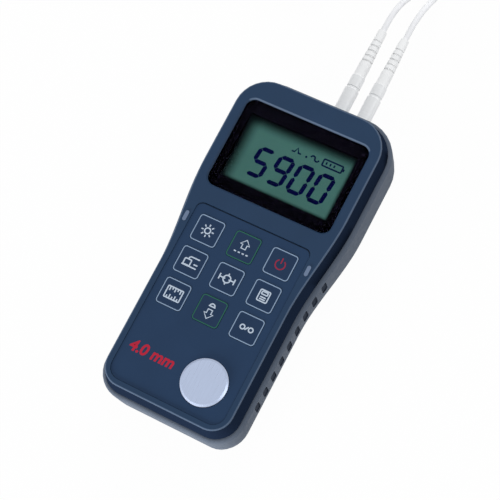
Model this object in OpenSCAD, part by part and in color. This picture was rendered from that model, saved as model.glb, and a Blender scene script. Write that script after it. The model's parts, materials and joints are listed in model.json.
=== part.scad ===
// Hand-held ultrasonic thickness gauge with its twin-plug probe lead.
// Millimetres. The gauge lies on its back on z = 0, its display end points to +Y
// and its face looks up. The origin is under the middle of the case.

/* [Case] */
// Length of the case, tail end to display end
case_l = 151; // [148:1:165]
// Width across the display head
head_w = 74; // [72:0.5:80]
// Width across the grip
grip_w = 65.5; // [64:0.5:68]
// Depth of the case, back to front face
case_t = 32; // [31:0.5:38]
// Depth of the front cover, face to seam
cover_depth = 9; // [8.5:0.5:10]
// How far the rear case stands out past the front cover
step_w = 1.7; // [1.2:0.1:2.2]
// Radius of the rear case's corners at the display end
head_r = 17.5; // [16:0.5:18.5]
// Radius of the rear case's corners at the tail end
tail_r = 12.5; // [11.5:0.5:13]
// Distance from the display end to where the head starts to narrow
waist_from_end = 45.5; // [42:0.5:49]
// Length of the narrowing between head and grip
waist_l = 47; // [38:1:50]
// Wall of the front cover's sides
cover_wall = 2.6; // [2.2:0.1:2.8]
// Wall of the rear case
rear_wall = 2.4; // [2:0.1:2.8]
// Thickness of the front cover's face plate
plate_t = 2.6; // [2.4:0.1:3]
// Radius of the front face's edge
edge_r = 0.6; // [0.4:0.1:0.9]
// Radius of the rear case's shoulder under the seam
shoulder_r = 1.5; // [1:0.1:1.7]
// Width of the back's rounding at the ends and the head
back_r_end = 4; // [2.5:0.5:5]
// Height of the back's rounding at the ends and the head
back_h_end = 7; // [4:0.5:8]
// Width of the back's rounding along the grip
back_r_grip = 6.5; // [5:0.5:7]
// Height of the back's rounding along the grip
back_h_grip = 15; // [10:0.5:15.5]
// Thickness of the gasket in the seam
gasket_t = 0.4; // [0.3:0.1:0.6]

/* [Grip slots] */
// Slots in each flank
slot_n = 9; // [5:1:9]
// Spacing of the slots along the flank
slot_pitch = 7.05; // [6:0.05:7.5]
// Width of one slot
slot_w = 3.4; // [2.4:0.1:4]
// Height of one slot
slot_h = 8.6; // [7:0.1:9]
// Depth of one slot
slot_depth = 0.8; // [0.5:0.1:1]
// Distance from the tail end to the first slot
slot_from_end = 22.5; // [20:0.5:26]

/* [Display] */
// Distance from the side of the head to the display opening
window_side = 8.2; // [8:0.1:10]
// Height of the display opening
window_h = 41.4; // [38:0.2:42]
// Corner radius of the display opening
window_r = 4; // [2:0.5:5]
// Distance from the display end to the opening
window_margin = 13.7; // [13.5:0.1:15]
// Bevel round the opening
window_bevel = 0.7; // [0.4:0.1:1]
// How far the clear pane lies below the face
pane_drop = 0.6; // [0.4:0.1:0.8]
// Thickness of the clear pane
pane_t = 0.8; // [0.6:0.1:1]
// Width of the black border beside the display
view_side = 5; // [4.6:0.1:7]
// Height of the visible part of the display
view_h = 26.2; // [22:0.2:28]
// Thickness of the frame's front web
frame_web = 1.3; // [1:0.1:1.6]
// Thickness of the display cell
cell_t = 2; // [1.6:0.1:2.2]
// Thickness of the backlight panel
backlight_t = 1; // [0.6:0.1:1.4]

/* [Keypad] */
// Spacing of the keys across the grip
key_pitch_x = 17.1; // [15.5:0.1:17.4]
// Spacing of the key rows, as a share of the overlay's length
key_share = 0.1824; // [0.175:0.0002:0.19]
// Space between two rows of keys
key_space = 3.2; // [3:0.1:5]
// Corner radius of a key
key_r = 1.3; // [0.6:0.1:2]
// How far a key stands above the overlay
key_rise = 0.15; // [0.1:0.05:0.3]
// Travel of a key
key_travel = 0.5; // [0.3:0.1:0.6]
// Gap all round a key
key_gap = 0.15; // [0.1:0.05:0.25]
// Width of the keypad overlay
overlay_w = 53.2; // [52.8:0.2:54]
// Thickness of the keypad overlay
overlay_t = 0.6; // [0.4:0.1:0.7]
// Depth of the recess that the overlay lies in
overlay_drop = 1; // [0.8:0.1:1.2]
// Distance between the display opening and the overlay
overlay_gap = 8.2; // [7:0.2:8.6]
// Distance from the tail end to the overlay
overlay_margin = 6; // [5.6:0.1:7]
// Distance from the overlay's upper edge to the middle of the first row
key_from_top = 10.5; // [9:0.1:11]

/* [Test block] */
// Diameter of the steel test block
block_d = 20; // [16:0.5:21]
// Height of the test block above the overlay
block_rise = 1; // [0.6:0.1:1.4]
// Bevel round the test block's face
block_bevel = 0.9; // [0.5:0.1:1.2]
// Middle of the test block, to the right of the centre line
block_x = 12; // [11:0.5:13]
// Distance from the tail end to the middle of the test block
block_from_end = 20.2; // [19.5:0.1:21]

/* [Electronics] */
// Thickness of the main circuit board
board_t = 1.6; // [1:0.1:2]
// Gap between the battery bay's roof and the board
board_gap = 0.65; // [0.4:0.05:0.7]
// Side of a key switch
switch_w = 6; // [5:0.5:7]
// Height of a key switch
switch_h = 3.5; // [3:0.1:4]
// Diameter of a key's stem
stem_d = 3.2; // [2.4:0.1:3.6]
// Diameter of the sounder
sounder_d = 14; // [10:1:18]

/* [Battery] */
// Diameter of a cell
cell_d = 14.5; // [14:0.1:14.7]
// Length of a cell with its nub
cell_l = 50.5; // [48:0.1:51]
// Length of a compressed contact spring
spring_l = 4.7; // [4:0.1:5.5]
// Thickness of the battery cover
door_t = 2.2; // [1.8:0.1:2.6]
// Width of the battery cover at the back
door_w = 32; // [31:0.2:33]
// How much wider the cover is inside, on each side
door_dovetail = 0.8; // [0.5:0.1:1]
// Gap round the battery cover
door_gap = 0.15; // [0.1:0.05:0.25]

/* [Fasteners] */
// Diameter of a case screw
screw_d = 2.9; // [2.5:0.1:3.2]
// Length of a case screw under its head
screw_l = 20; // [17:0.5:21]
// Diameter of a case screw's head
screw_head_d = 5.2; // [4.6:0.1:5.6]
// Height of a case screw's head
screw_head_h = 2.2; // [1.6:0.1:2.6]

/* [Sockets and plugs] */
// Spacing of the two probe sockets
socket_pitch = 10.6; // [10.4:0.1:11]
// Gap between a socket and the screw boss beside it
socket_clear = 0.5; // [0.4:0.1:3]
// Diameter of a socket's body
socket_d = 7; // [6:0.1:7.4]
// Bore of a socket
socket_bore = 4.3; // [3.6:0.1:4.6]
// Diameter of a plug's shell
plug_d = 6.4; // [5.6:0.1:7]
// Length of a plug's shell outside its socket
plug_l = 19; // [14:0.1:20]
// Diameter of a plug's boot
boot_d = 5.3; // [4.4:0.1:5.8]
// Length of a plug's boot
boot_l = 23; // [18:0.5:26]

/* [Probe and cable] */
// Diameter of the two short leads
lead_d = 2.6; // [2.2:0.1:3]
// Diameter of the twin cable
cable_d = 4.5; // [4:0.1:4.6]
// Diameter of the probe's case
probe_d = 17; // [15:0.5:18]
// Height of the probe
probe_h = 26; // [24:0.5:30]
// Diameter of the probe's contact face
probe_face_d = 12; // [8:0.5:13]

/* [Hidden] */
$fn = 64;

// Small clearances and steps shared by several pieces
fit = 0.15;
nest = 0.1;
over = 1;
cut = 0.05;

// Plan of the case
case_half = case_l / 2;
waist_hi = case_half - waist_from_end;
waist_lo = waist_hi - waist_l;
corner_steps = 8;
waist_steps = 12;

// Heights through the case, from the front face down
seam_z = case_t - cover_depth;
cover_z = seam_z + gasket_t;
plate_z = case_t - plate_t;
recess_z = case_t - overlay_drop;
overlay_z = recess_z + overlay_t;

// Insets from the plan of the rear case
cover_draft = 1.7;
face_inset = step_w + cover_draft + edge_r;
flank_draft = 0.03;
cavity_inset = step_w + cover_wall;
rim_over = 0.3;
rim_inset = cavity_inset - rim_over;
rim_h = 2.5;
rim_slope = 2;
lip_inset = rim_inset + fit;
lip_t = 1;
lip_h = 2;
board_play = 0.35;
board_inset = lip_inset + lip_t + board_play;
gasket_in = 0.3;
gasket_play = 0.4;
shoulder_z = seam_z - shoulder_r;
back_t = 2.4;

// Battery bay
bay_wall = 1.2;
bay_slack = 0.35;
contact_t = 0.4;
contact_w = 9;
bay_from_end = 9.5;
bay_low = bay_from_end - case_half;
bay_high = bay_low + 2 * contact_t + spring_l + cell_l;
bay_half = cell_d + 2 * bay_slack;
cell_x = cell_d / 2 + bay_slack;
door_roof = door_t + door_gap;
cell_axis = door_roof + bay_slack + cell_d / 2;
bay_top = cell_axis + cell_d / 2 + bay_slack;
pad_over = 1.6;
pad_t = door_roof + pad_over;
pad_side = 3;
pad_end = 5;
pad_past = 2.4;
door_end = bay_high + bay_wall + pad_over;
door_ribs = 5;
nub_d = 5.5;
nub_h = 1.5;
spring_wire = 0.7;

// Board above the battery bay
board_under = bay_top + bay_wall + board_gap;
board_z = board_under + board_t;

chip_t = 1.6;
chips = [
    [-0.24, 0.2, 0.24, 0.32, chip_t],
    [0.18, 0.16, 0.18, 0.17, chip_t],
    [0.26, -0.12, 0.12, 0.17, chip_t],
    [-0.06, -0.18, 0.16, 0.12, chip_t]
];
sounder_gap = 3.2;

// Display stack
window_w = head_w - 2 * window_side;
window_y = case_half - window_margin - window_h / 2;
view_w = window_w - 2 * view_side;
pane_z = case_t - pane_drop - pane_t;
frame_w = window_w - 2 * fit;
frame_h = window_h - 2 * fit;
frame_r = window_r - fit;
frame_ear = 1.6;
web_z = pane_z - frame_web;
glass_side = 3.2;
glass_end = 4.9;
glass_w = view_w + 2 * glass_side;
glass_h = view_h + 2 * glass_end;
cell_z = web_z - cell_t;
backlight_z = cell_z - backlight_t;
strip_w = 2;
strip_y = glass_h / 2 - strip_w / 2 - nest;
skirt_below = 0.4;
frame_skirt_z = cell_z - skirt_below;

// Keypad
overlay_top = window_y - window_h / 2 - overlay_gap;
overlay_low = overlay_margin - case_half;
key_pitch_y = key_share * (overlay_top - overlay_low);
key_w = key_pitch_y - key_space;
overlay_r_top = 3;
overlay_r_low = 5.6;
overlay_slack = 0.15;
overlay_play = 0.6;
key_top = overlay_z + key_rise;
key_row = overlay_top - key_from_top;
flange_side = 1;
flange_w = key_w + 2 * flange_side;
flange_t = 0.8;
stem_in = 0.6;
stem_low = board_z + switch_h - stem_in;
stem_clear = 0.4;
switch_well = stem_in + key_travel + stem_clear;

// Test block
block_y = block_from_end - case_half;
block_top = overlay_z + block_rise;
block_in = 1;
block_low = plate_z - block_in;
block_floor = 1.4;
block_wall = 1.6;

// Screws, bosses and the board's seats
head_post = [14.2, 10];
tail_post = [11.1, 13];
screw_posts = [
    [head_w / 2 - head_post[0], case_half - head_post[1]],
    [grip_w / 2 - tail_post[0], tail_post[1] - case_half]
];
screw_spots = [for (p = screw_posts, s = [-1, 1]) [s * p[0], p[1]]];
boss_d = 7;
spigot_d = 5.8;
spigot_l = 2.4;
spigot_low = board_under - spigot_l;
rear_boss_d = 8;
screw_sink = 2;
screw_seat = screw_head_h + screw_sink;
screw_clear = 0.2;

// Sockets and plugs
socket_right = screw_posts[0][0] - (rear_boss_d + socket_d) / 2 - socket_clear;
socket_spots = [socket_right - socket_pitch, socket_right];
socket_lip = 0.8;
socket_flange_d = socket_d + 2 * socket_lip;
socket_flange_t = 1.3;
socket_face = case_half - socket_flange_t;
socket_back = 10.5;
socket_well = 8.5;
nut_af = 8.8;
nut_t = 2;
socket_z = min(seam_z - rim_h - rim_slope, board_under) - nut_af / 2 - nest;
nut_gap = 0.4;
nut_face = case_half - rear_wall - nut_gap;
plug_start = socket_face + socket_flange_t;
plug_end = plug_start + plug_l;
boot_end = plug_end + boot_l;
boot_wall = 0.6;
boot_tip_d = lead_d + 2 * boot_wall;

// Routes of the leads and the cable, points chosen by hand
lead_send_path = [
    [socket_spots[0], boot_end, socket_z],
    [4.2, 120, 14], [4.2, 123, 13.9], [4.3, 126, 13.6], [4.5, 129, 13], [4.8, 132, 12.1],
    [5.3, 135, 10.9], [6, 138, 9.4], [6.9, 141, 7.9], [8, 144, 6.5],
    [9.1, 147, 5.3], [10.3, 150, 4.3], [11.5, 153, 3.6], [12.6, 156, 3.1], [13.4, 159, 2.8],
    [13.7, 162, 2.7], [13.7, 164, 2.7]
];
lead_receive_path = [
    [socket_spots[1], boot_end, socket_z],
    [14.8, 120, 14], [14.8, 123, 13.9], [14.8, 126, 13.6], [14.9, 129, 13], [15, 132, 12.1],
    [15.1, 135, 10.9], [15.3, 138, 9.4], [15.6, 141, 7.9], [16, 144, 6.5],
    [16.3, 147, 5.3], [16.6, 150, 4.3], [16.9, 153, 3.6], [17.1, 156, 3.1], [17.3, 159, 2.8],
    [17.3, 162, 2.7], [17.3, 164, 2.7]
];
run_path = [[15.5, 180, 2.8], [15.5, 182, 2.8], [15.5, 184, 2.9], [15.5, 186, 2.9]];
tail_path = [
    [-46, 184, 9.2], [-46, 181, 10.8], [-46, 178, 12.5], [-46, 174, 14.5], [-46, 170, 15.9],
    [-46, 166, 16.5], [-46, 163, 16.5]
];
joint_start = 164;
joint_end = 180;
joint_grip = 7;
coil_centre = [-16.4, 202];
coil_r = 25;
coil_turns_wide = 3;
coil_gap = 0.1;
coil_low = 0.6;
coil_half_w = (coil_turns_wide + 1) * (cable_d + coil_gap) / 2;
coil_h = 2 * (cable_d + coil_gap);
tie_w = 6;
tie_t = 0.5;
tie_slack = 0.4;
probe_spot = [-46, 141.5];
probe_exit_z = 16.5;
probe_boot_end = 163;
probe_face_t = 2.5;
probe_lip = 1.5;
probe_sink = 1.2;

// Blends from 0 to 1 with level ends
function smooth(t) = let (u = max(0, min(1, t))) u * u * (3 - 2 * u);
function mix(a, b, t) = a + (b - a) * t;

// Half the width of the rear case at y, and its slope along y
function waist(y) = (y - waist_lo) / waist_l;
function half_width(y) = mix(grip_w, head_w, smooth(waist(y))) / 2;
function half_slope(y) =
    let (u = max(0, min(1, waist(y)))) (head_w - grip_w) * 3 * u * (1 - u) / waist_l;

// Plan points as [x, y, outward x, outward y]
function corner(cx, cy, r, from) =
    [for (i = [0:corner_steps]) let (a = from + 90 * i / corner_steps)
        [cx + r * cos(a), cy + r * sin(a), cos(a), sin(a)]];
function waist_side() =
    [for (i = [0:waist_steps])
        let (y = waist_lo + waist_l * i / waist_steps, s = half_slope(y), k = sqrt(1 + s * s))
        [half_width(y), y, 1 / k, -s / k]];
right_side = concat(
    corner(grip_w / 2 - tail_r, tail_r - case_half, tail_r, -90),
    waist_side(),
    corner(head_w / 2 - head_r, case_half - head_r, head_r, 0)
);
left_side = [for (i = [len(right_side) - 1:-1:0])
    let (p = right_side[i]) [-p[0], p[1], -p[2], p[3]]];
plan = concat(right_side, left_side);

// The plan moved inwards, flat or at a height
function inset_plan(d) = [for (p = plan) [p[0] - p[2] * d, p[1] - p[3] * d]];
function level(d, z) = [for (p = plan) [p[0] - p[2] * d, p[1] - p[3] * d, z]];

// The back's rounding is small at the ends and the head, and full along the grip
function back_share(p) = abs(p[2]) * (1 - smooth(waist(p[1])));
function back_ring(angle, wall, floor_z) =
    [for (p = plan)
        let (
            r = mix(back_r_end, back_r_grip, back_share(p)),
            h = mix(back_h_end, back_h_grip, back_share(p)),
            d = wall + flank_draft * (shoulder_z - h) + r * (1 - cos(angle)),
            z = floor_z + (h - floor_z) * (1 - sin(angle))
        )
        [p[0] - p[2] * d, p[1] - p[3] * d, z]];
function rear_skin() = concat(
    [for (a = [90:-18:0]) back_ring(a, 0, 0)],
    [for (a = [90:-30:0]) level(shoulder_r * (1 - sin(a)), seam_z - shoulder_r * (1 - cos(a)))]
);
function rear_hollow() = concat(
    [for (a = [90:-22.5:0]) back_ring(a, rear_wall, back_t)],
    [
        level(rear_wall, seam_z - rim_h - rim_slope),
        level(rim_inset, seam_z - rim_h),
        level(rim_inset, seam_z + over)
    ]
);
function cover_skin() = concat(
    [level(step_w, cover_z)],
    [for (a = [0:22.5:90])
        level(step_w + cover_draft + edge_r * (1 - cos(a)), case_t - edge_r * (1 - sin(a)))]
);

// Corners of a rectangle rounded with two radii, from low_y to high_y
function rounded(w, low_y, high_y, r_low, r_high, steps = 5) = concat(
    [for (i = [0:steps]) let (a = -90 + 90 * i / steps)
        [w / 2 - r_low + r_low * cos(a), low_y + r_low + r_low * sin(a)]],
    [for (i = [0:steps]) let (a = 90 * i / steps)
        [w / 2 - r_high + r_high * cos(a), high_y - r_high + r_high * sin(a)]],
    [for (i = [0:steps]) let (a = 90 + 90 * i / steps)
        [-w / 2 + r_high + r_high * cos(a), high_y - r_high + r_high * sin(a)]],
    [for (i = [0:steps]) let (a = 180 + 90 * i / steps)
        [-w / 2 + r_low + r_low * cos(a), low_y + r_low + r_low * sin(a)]]
);
function rounded_box(w, h, r) = rounded(w, -h / 2, h / 2, r, r);

// Skin through rings of equal length, lowest first, with flat ends
module loft(rings) {
    n = len(rings[0]);
    last = len(rings) - 1;
    sides = [for (j = [0:last - 1], i = [0:n - 1])
        let (a = j * n + i, b = j * n + (i + 1) % n)
        each [[a, a + n, b + n], [a, b + n, b]]];
    low = [for (i = [0:n - 1]) i];
    high = [for (i = [n - 1:-1:0]) last * n + i];
    polyhedron([for (r = rings) each r], concat(sides, [low, high]));
}

// Skin whose end rings are carried on past two heights and cut off flat there
function past(end, before) = [for (i = [0:len(end) - 1]) 2 * end[i] - before[i]];
module shell(rings, low_z, high_z) {
    last = len(rings) - 1;
    room = 2 * case_l;
    difference() {
        loft(concat(
            [past(rings[0], rings[1])],
            [for (i = [1:last - 1]) rings[i]],
            [past(rings[last], rings[last - 1])]
        ));
        translate([-room / 2, -room / 2, low_z - room]) cube(room);
        translate([-room / 2, -room / 2, high_z]) cube(room);
    }
}

// Flat slab of an outline between two heights
module slab(points, low_z, high_z) {
    translate([0, 0, low_z])
        linear_extrude(high_z - low_z)
            polygon(points);
}

// Flat ring between two insets of the plan
module plan_ring(outer, inner, low_z, high_z) {
    difference() {
        slab(inset_plan(outer), low_z, high_z);
        slab(inset_plan(inner), low_z - over, high_z + over);
    }
}

// Round piece turned on an axis along +Y through [x, y, z]
module turned_y(x, y, z) {
    translate([x, y, z]) rotate([-90, 0, 0]) children();
}

// Tube swept along a path, with flat ends
function toward(path, i) =
    let (a = path[max(0, i - 1)], b = path[min(len(path) - 1, i + 1)]) (b - a) / norm(b - a);
function tube_ring(path, i, r, sides) =
    let (
        t = toward(path, i),
        guide = abs(t[2]) < 0.9 ? [0, 0, 1] : [1, 0, 0],
        u = cross(t, guide) / norm(cross(t, guide)),
        v = cross(u, t)
    )
    [for (k = [0:sides - 1]) let (a = 360 * k / sides)
        path[i] + r * (cos(a) * u + sin(a) * v)];
module tube(path, d, sides = 8) {
    loft([for (i = [0:len(path) - 1]) tube_ring(path, i, d / 2, sides)]);
}

// Front cover with its display opening, keypad recess and screw bosses
module cover_posts() {
    for (p = screw_spots) {
        translate([p[0], p[1], board_z]) cylinder(d = boss_d, h = plate_z - board_z + over);
        translate([p[0], p[1], spigot_low]) cylinder(d = spigot_d, h = board_z - spigot_low + over);
    }
}
module cover_pips() {
    pip_w = 1.6;
    pip_l = 4.6;
    pip_rise = 0.25;
    pip_y = key_row + 2;
    pip_x = (half_width(pip_y) - face_inset + overlay_w / 2) / 2;
    for (s = [-1, 1])
        translate([s * pip_x, pip_y, 0])
            slab(rounded_box(pip_w, pip_l, pip_w / 2), case_t - over, case_t + pip_rise);
}
module window_bevel_cut() {
    translate([0, window_y, 0])
        loft([
            for (s = [[0, -window_bevel], [2 * window_bevel + cut, cut]])
                [for (p = rounded_box(window_w + s[0], window_h + s[0], window_r + s[0] / 2))
                    [p[0], p[1], case_t + s[1]]]
        ]);
}
module front_cover() {
    color("#2c3e5a")
        difference() {
            union() {
                difference() {
                    shell(cover_skin(), cover_z, case_t);
                    slab(inset_plan(cavity_inset), cover_z - over, plate_z);
                }
                plan_ring(lip_inset, lip_inset + lip_t, seam_z - lip_h, cover_z + over);
                cover_posts();
                translate([block_x, block_y, block_low - block_floor])
                    cylinder(d = block_d + 2 * block_wall, h = plate_z - block_low + block_floor + cut);
                cover_pips();
            }
            translate([0, window_y, 0])
                slab(rounded_box(window_w, window_h, window_r), plate_z - over, case_t + over);
            window_bevel_cut();
            slab(
                rounded(overlay_w, overlay_low, overlay_top, overlay_r_low, overlay_r_top),
                recess_z, case_t + over
            );
            for (c = [-1:1], r = [0:2])
                translate([c * key_pitch_x, key_row - r * key_pitch_y, 0])
                    slab(rounded_box(key_w + 2 * key_gap, key_w + 2 * key_gap, key_r + key_gap),
                        plate_z - over, case_t);
            translate([block_x, block_y, block_low])
                cylinder(d = block_d + 2 * nest, h = case_t);
            for (p = screw_spots)
                translate([p[0], p[1], spigot_low - over])
                    cylinder(d = screw_d + nest, h = screw_seat + screw_l - spigot_low + 2 * over);
        }
}

// Rear case: a tub with a stepped shoulder, grip slots and a battery bay
module flank_slots() {
    slot_below = 0.3;
    slot_z = shoulder_z - slot_h / 2 - slot_below;
    for (s = [-1, 1], i = [0:slot_n - 1]) {
        y = slot_from_end - case_half + i * slot_pitch;
        translate([s * half_width(y), y, slot_z])
            rotate([0, 0, -s * atan(half_slope(y))])
                rotate([90, 0, 90])
                    translate([0, 0, -slot_depth - (s < 0 ? over : 0)])
                        linear_extrude(2 * slot_depth + over)
                            polygon(rounded_box(slot_w, slot_h, slot_w / 3));
    }
}
module door_prism(gap, low_y, high_y, top) {
    half = door_w / 2 + gap;
    translate([0, high_y, 0])
        rotate([90, 0, 0])
            linear_extrude(high_y - low_y)
                polygon([
                    [-half - door_dovetail * -over / door_t, -over],
                    [half + door_dovetail * -over / door_t, -over],
                    [half + door_dovetail * top / door_t, top],
                    [-half - door_dovetail * top / door_t, top]
                ]);
}
module rear_case() {
    color("#46546a")
        difference() {
            union() {
                difference() {
                    shell(rear_skin(), 0, seam_z);
                    shell(rear_hollow(), back_t, seam_z + over);
                }
                translate([-door_w / 2 - pad_side, pad_end - case_half, cut])
                    cube([door_w + 2 * pad_side, door_end + case_half - pad_end + pad_past, pad_t]);
                translate([-bay_half - bay_wall, bay_low - bay_wall, cut])
                    cube([2 * (bay_half + bay_wall), bay_high - bay_low + 2 * bay_wall, bay_top + bay_wall]);
                for (p = screw_spots)
                    translate([p[0], p[1], cut])
                        cylinder(d = rear_boss_d, h = board_under - nest - cut);
            }
            door_prism(door_gap, -case_half - over, door_end, door_roof);
            translate([-bay_half, bay_low, door_roof - over])
                cube([2 * bay_half, bay_high - bay_low, bay_top - door_roof + over]);
            for (p = screw_spots) {
                translate([p[0], p[1], -over])
                    cylinder(d = screw_head_d + 2 * screw_clear, h = screw_seat + over);
                translate([p[0], p[1], 0])
                    cylinder(d = screw_d + 2 * screw_clear, h = case_t);
                translate([p[0], p[1], spigot_low - nest])
                    cylinder(d = spigot_d + 2 * nest, h = case_t);
            }
            flank_slots();
            for (x = socket_spots) {
                turned_y(x, socket_face, socket_z)
                    cylinder(d = socket_flange_d + 2 * nest, h = case_half);
                turned_y(x, nut_face - 2 * over, socket_z)
                    cylinder(d = socket_d + 2 * nest, h = case_half);
            }
        }
}
module case_gasket() {
    color("#15181d") plan_ring(step_w + gasket_in, cavity_inset - gasket_play, seam_z, cover_z);
}
module battery_cover() {
    rib_pitch = 2.4;
    rib_w = 1.1;
    rib_depth = 0.5;
    rib_from_end = 12;
    color("#46546a")
        difference() {
            intersection() {
                door_prism(0, -case_half - over, door_end - door_gap, door_t);
                shell(rear_skin(), 0, seam_z);
            }
            for (i = [0:door_ribs - 1])
                translate([-door_w / 4, door_end - rib_from_end - i * rib_pitch, -over])
                    cube([door_w / 2, rib_w, rib_depth + over]);
        }
}
module case_screws() {
    slot_long = screw_head_d * 0.62;
    slot_wide = 0.7;
    chamfer = 0.6;
    tip = 1;
    color("#c9ccd0")
        for (p = screw_spots)
            translate([p[0], p[1], screw_seat])
                difference() {
                    rotate_extrude()
                        polygon([
                            [0, screw_l], [screw_d / 2 - chamfer, screw_l], [screw_d / 2, screw_l - tip],
                            [screw_d / 2, 0], [screw_head_d / 2, 0],
                            [screw_head_d / 2, chamfer - screw_head_h],
                            [screw_head_d / 2 - chamfer, -screw_head_h], [0, -screw_head_h]
                        ]);
                    for (a = [0, 90])
                        rotate(a)
                            translate([-slot_long / 2, -slot_wide / 2, -screw_head_h - over])
                                cube([slot_long, slot_wide, screw_head_h / 2 + over]);
                }
}

// Display: pane, black frame, cell, backlight and its two contact strips
module display_frame() {
    color("#101214")
        translate([0, window_y, 0])
            difference() {
                union() {
                    slab(rounded_box(frame_w, frame_h, frame_r), web_z - cut, pane_z);
                    slab(rounded_box(frame_w + 2 * frame_ear, frame_h, frame_r), frame_skirt_z, plate_z);
                }
                slab(rounded_box(glass_w + 2 * nest, glass_h + 2 * nest, 0.5), frame_skirt_z - over, web_z);
                slab(rounded_box(view_w, view_h, 1), web_z - over, case_t);
            }
}
module display_pane() {
    color("#dfe8ee", 0.3)
        translate([0, window_y, 0]) slab(rounded_box(frame_w, frame_h, frame_r), pane_z, pane_z + pane_t);
}
module display_cell() {
    color("#7f9a8e")
        translate([0, window_y, 0]) slab(rounded_box(glass_w, glass_h, 0.4), cell_z, web_z);
}
module backlight_panel() {
    color("#e6e9e4")
        translate([0, window_y, 0])
            slab(rounded_box(glass_w - 2, 2 * (strip_y - strip_w / 2) - 2 * fit, 0.6), backlight_z, cell_z);
}
module contact_strips() {
    color("#5b5f66")
        for (s = [-1, 1])
            translate([0, window_y + s * strip_y, 0])
                slab(rounded_box(glass_w - 4, strip_w, 0.3), board_z, cell_z);
}

// Keypad: overlay film, nine keys and their switches
module keypad_overlay() {
    hole = key_w + 2 * key_gap;
    color("#324561")
        difference() {
            slab(
                rounded(
                    overlay_w - 2 * overlay_slack, overlay_low + overlay_slack, overlay_top - overlay_play,
                    overlay_r_low - overlay_slack, overlay_r_top - overlay_slack
                ),
                recess_z, overlay_z
            );
            for (c = [-1:1], r = [0:2])
                translate([c * key_pitch_x, key_row - r * key_pitch_y, 0])
                    slab(rounded_box(hole, hole, key_r + key_gap), recess_z - over, overlay_z + over);
            translate([block_x, block_y, recess_z - over])
                cylinder(d = block_d + 4 * nest, h = overlay_t + 2 * over);
        }
}
module key(column, row) {
    flange_top = plate_z - nest;
    color("#2b3c58")
        translate([column * key_pitch_x, key_row - row * key_pitch_y, 0]) {
            slab(rounded_box(key_w, key_w, key_r), flange_top - cut, key_top);
            slab(rounded_box(flange_w, flange_w, key_r), flange_top - flange_t, flange_top);
            translate([0, 0, stem_low])
                cylinder(d = stem_d, h = flange_top - flange_t - stem_low + cut);
        }
}
module key_switches() {
    color("#1c1e22")
        for (c = [-1:1], r = [0:2])
            translate([c * key_pitch_x, key_row - r * key_pitch_y, board_z])
                difference() {
                    slab(rounded_box(switch_w, switch_w, 0.4), 0, switch_h);
                    translate([0, 0, switch_h - switch_well])
                        cylinder(d = stem_d + 2 * fit, h = switch_well + over);
                }
}

// Board with its parts
module main_board() {
    color("#2f6b45")
        difference() {
            slab(inset_plan(board_inset), board_under, board_z);
            for (p = screw_spots)
                translate([p[0], p[1], board_under - over])
                    cylinder(d = spigot_d + 2 * nest, h = board_t + 2 * over);
        }
}
module chip(x, y, w, h, t) {
    translate([x, y, 0]) slab(rounded_box(w, h, 0.3), board_under - t, board_under);
}
module board_chips() {
    color("#17181a")
        for (c = chips)
            chip(c[0] * window_w, window_y + c[1] * window_h, c[2] * window_w, c[3] * window_h, c[4]);
}
module sounder() {
    sounder_h = 3;
    sounder_y = door_end + sounder_gap + sounder_d / 2;
    color("#25272b")
        translate([0, sounder_y, board_under - sounder_h])
            difference() {
                cylinder(d = sounder_d, h = sounder_h);
                translate([0, 0, -over]) cylinder(d = 2, h = over + 0.8);
            }
}

// Steel test block let into the front cover
module test_block() {
    r = block_d / 2;
    bevel_h = block_bevel * 0.7;
    color("#d9dbdd")
        translate([block_x, block_y, 0])
            rotate_extrude()
                polygon([
                    [0, block_low], [r, block_low], [r, block_top - bevel_h],
                    [r - block_bevel, block_top], [0, block_top]
                ]);
}

// Coaxial sockets in the display end
module socket(x) {
    chamfer = 0.3;
    color("#cfd2d4")
        turned_y(x, socket_face, socket_z)
            rotate_extrude()
                polygon([
                    [0, -socket_back], [socket_d / 2, -socket_back], [socket_d / 2, 0],
                    [socket_flange_d / 2, 0], [socket_flange_d / 2, socket_flange_t - chamfer],
                    [socket_flange_d / 2 - chamfer, socket_flange_t],
                    [socket_bore / 2, socket_flange_t],
                    [socket_bore / 2, socket_flange_t - socket_well], [0, socket_flange_t - socket_well]
                ]);
}
module socket_nuts() {
    color("#b9bcbf")
        for (x = socket_spots)
            turned_y(x, nut_face - nut_t, socket_z)
                difference() {
                    cylinder(d = nut_af / cos(30), h = nut_t, $fn = 6);
                    translate([0, 0, -over]) cylinder(d = socket_d + nest, h = nut_t + 2 * over);
                }
}

// Battery cells and their contacts
module power_cell(x, start, dir) {
    body_l = cell_l - nub_h;
    chamfer = 0.6;
    color("#3f474f")
        translate([x, start, cell_axis])
            rotate([-90 * dir, 0, 0])
                rotate_extrude()
                    polygon([
                        [0, 0], [cell_d / 2 - chamfer, 0], [cell_d / 2, chamfer],
                        [cell_d / 2, body_l - chamfer], [cell_d / 2 - chamfer, body_l],
                        [nub_d / 2, body_l], [nub_d / 2, cell_l], [0, cell_l]
                    ]);
}
module contact_bridge() {
    color("#c6b98a")
        translate([-cell_x - contact_w / 2, bay_low, cell_axis - contact_w / 2])
            cube([2 * cell_x + contact_w, contact_t, contact_w]);
}
module contact_tabs() {
    color("#c6b98a")
        for (s = [-1, 1])
            translate([s * cell_x - contact_w / 2, bay_high - contact_t, cell_axis - contact_w / 2])
                cube([contact_w, contact_t, contact_w]);
}
module spring(x, start, dir) {
    turns = 4;
    steps = 12;
    wide = cell_d / 2 - 2.4;
    narrow = nub_d / 2;
    lift = spring_l - spring_wire;
    path = [for (i = [0:turns * steps])
        let (t = i / (turns * steps), r = mix(wide, narrow, t))
        [
            x + r * cos(360 * turns * t),
            start + dir * (spring_wire / 2 + lift * smooth(t)),
            cell_axis + r * sin(360 * turns * t)
        ]];
    tube(path, spring_wire, 6);
}
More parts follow.
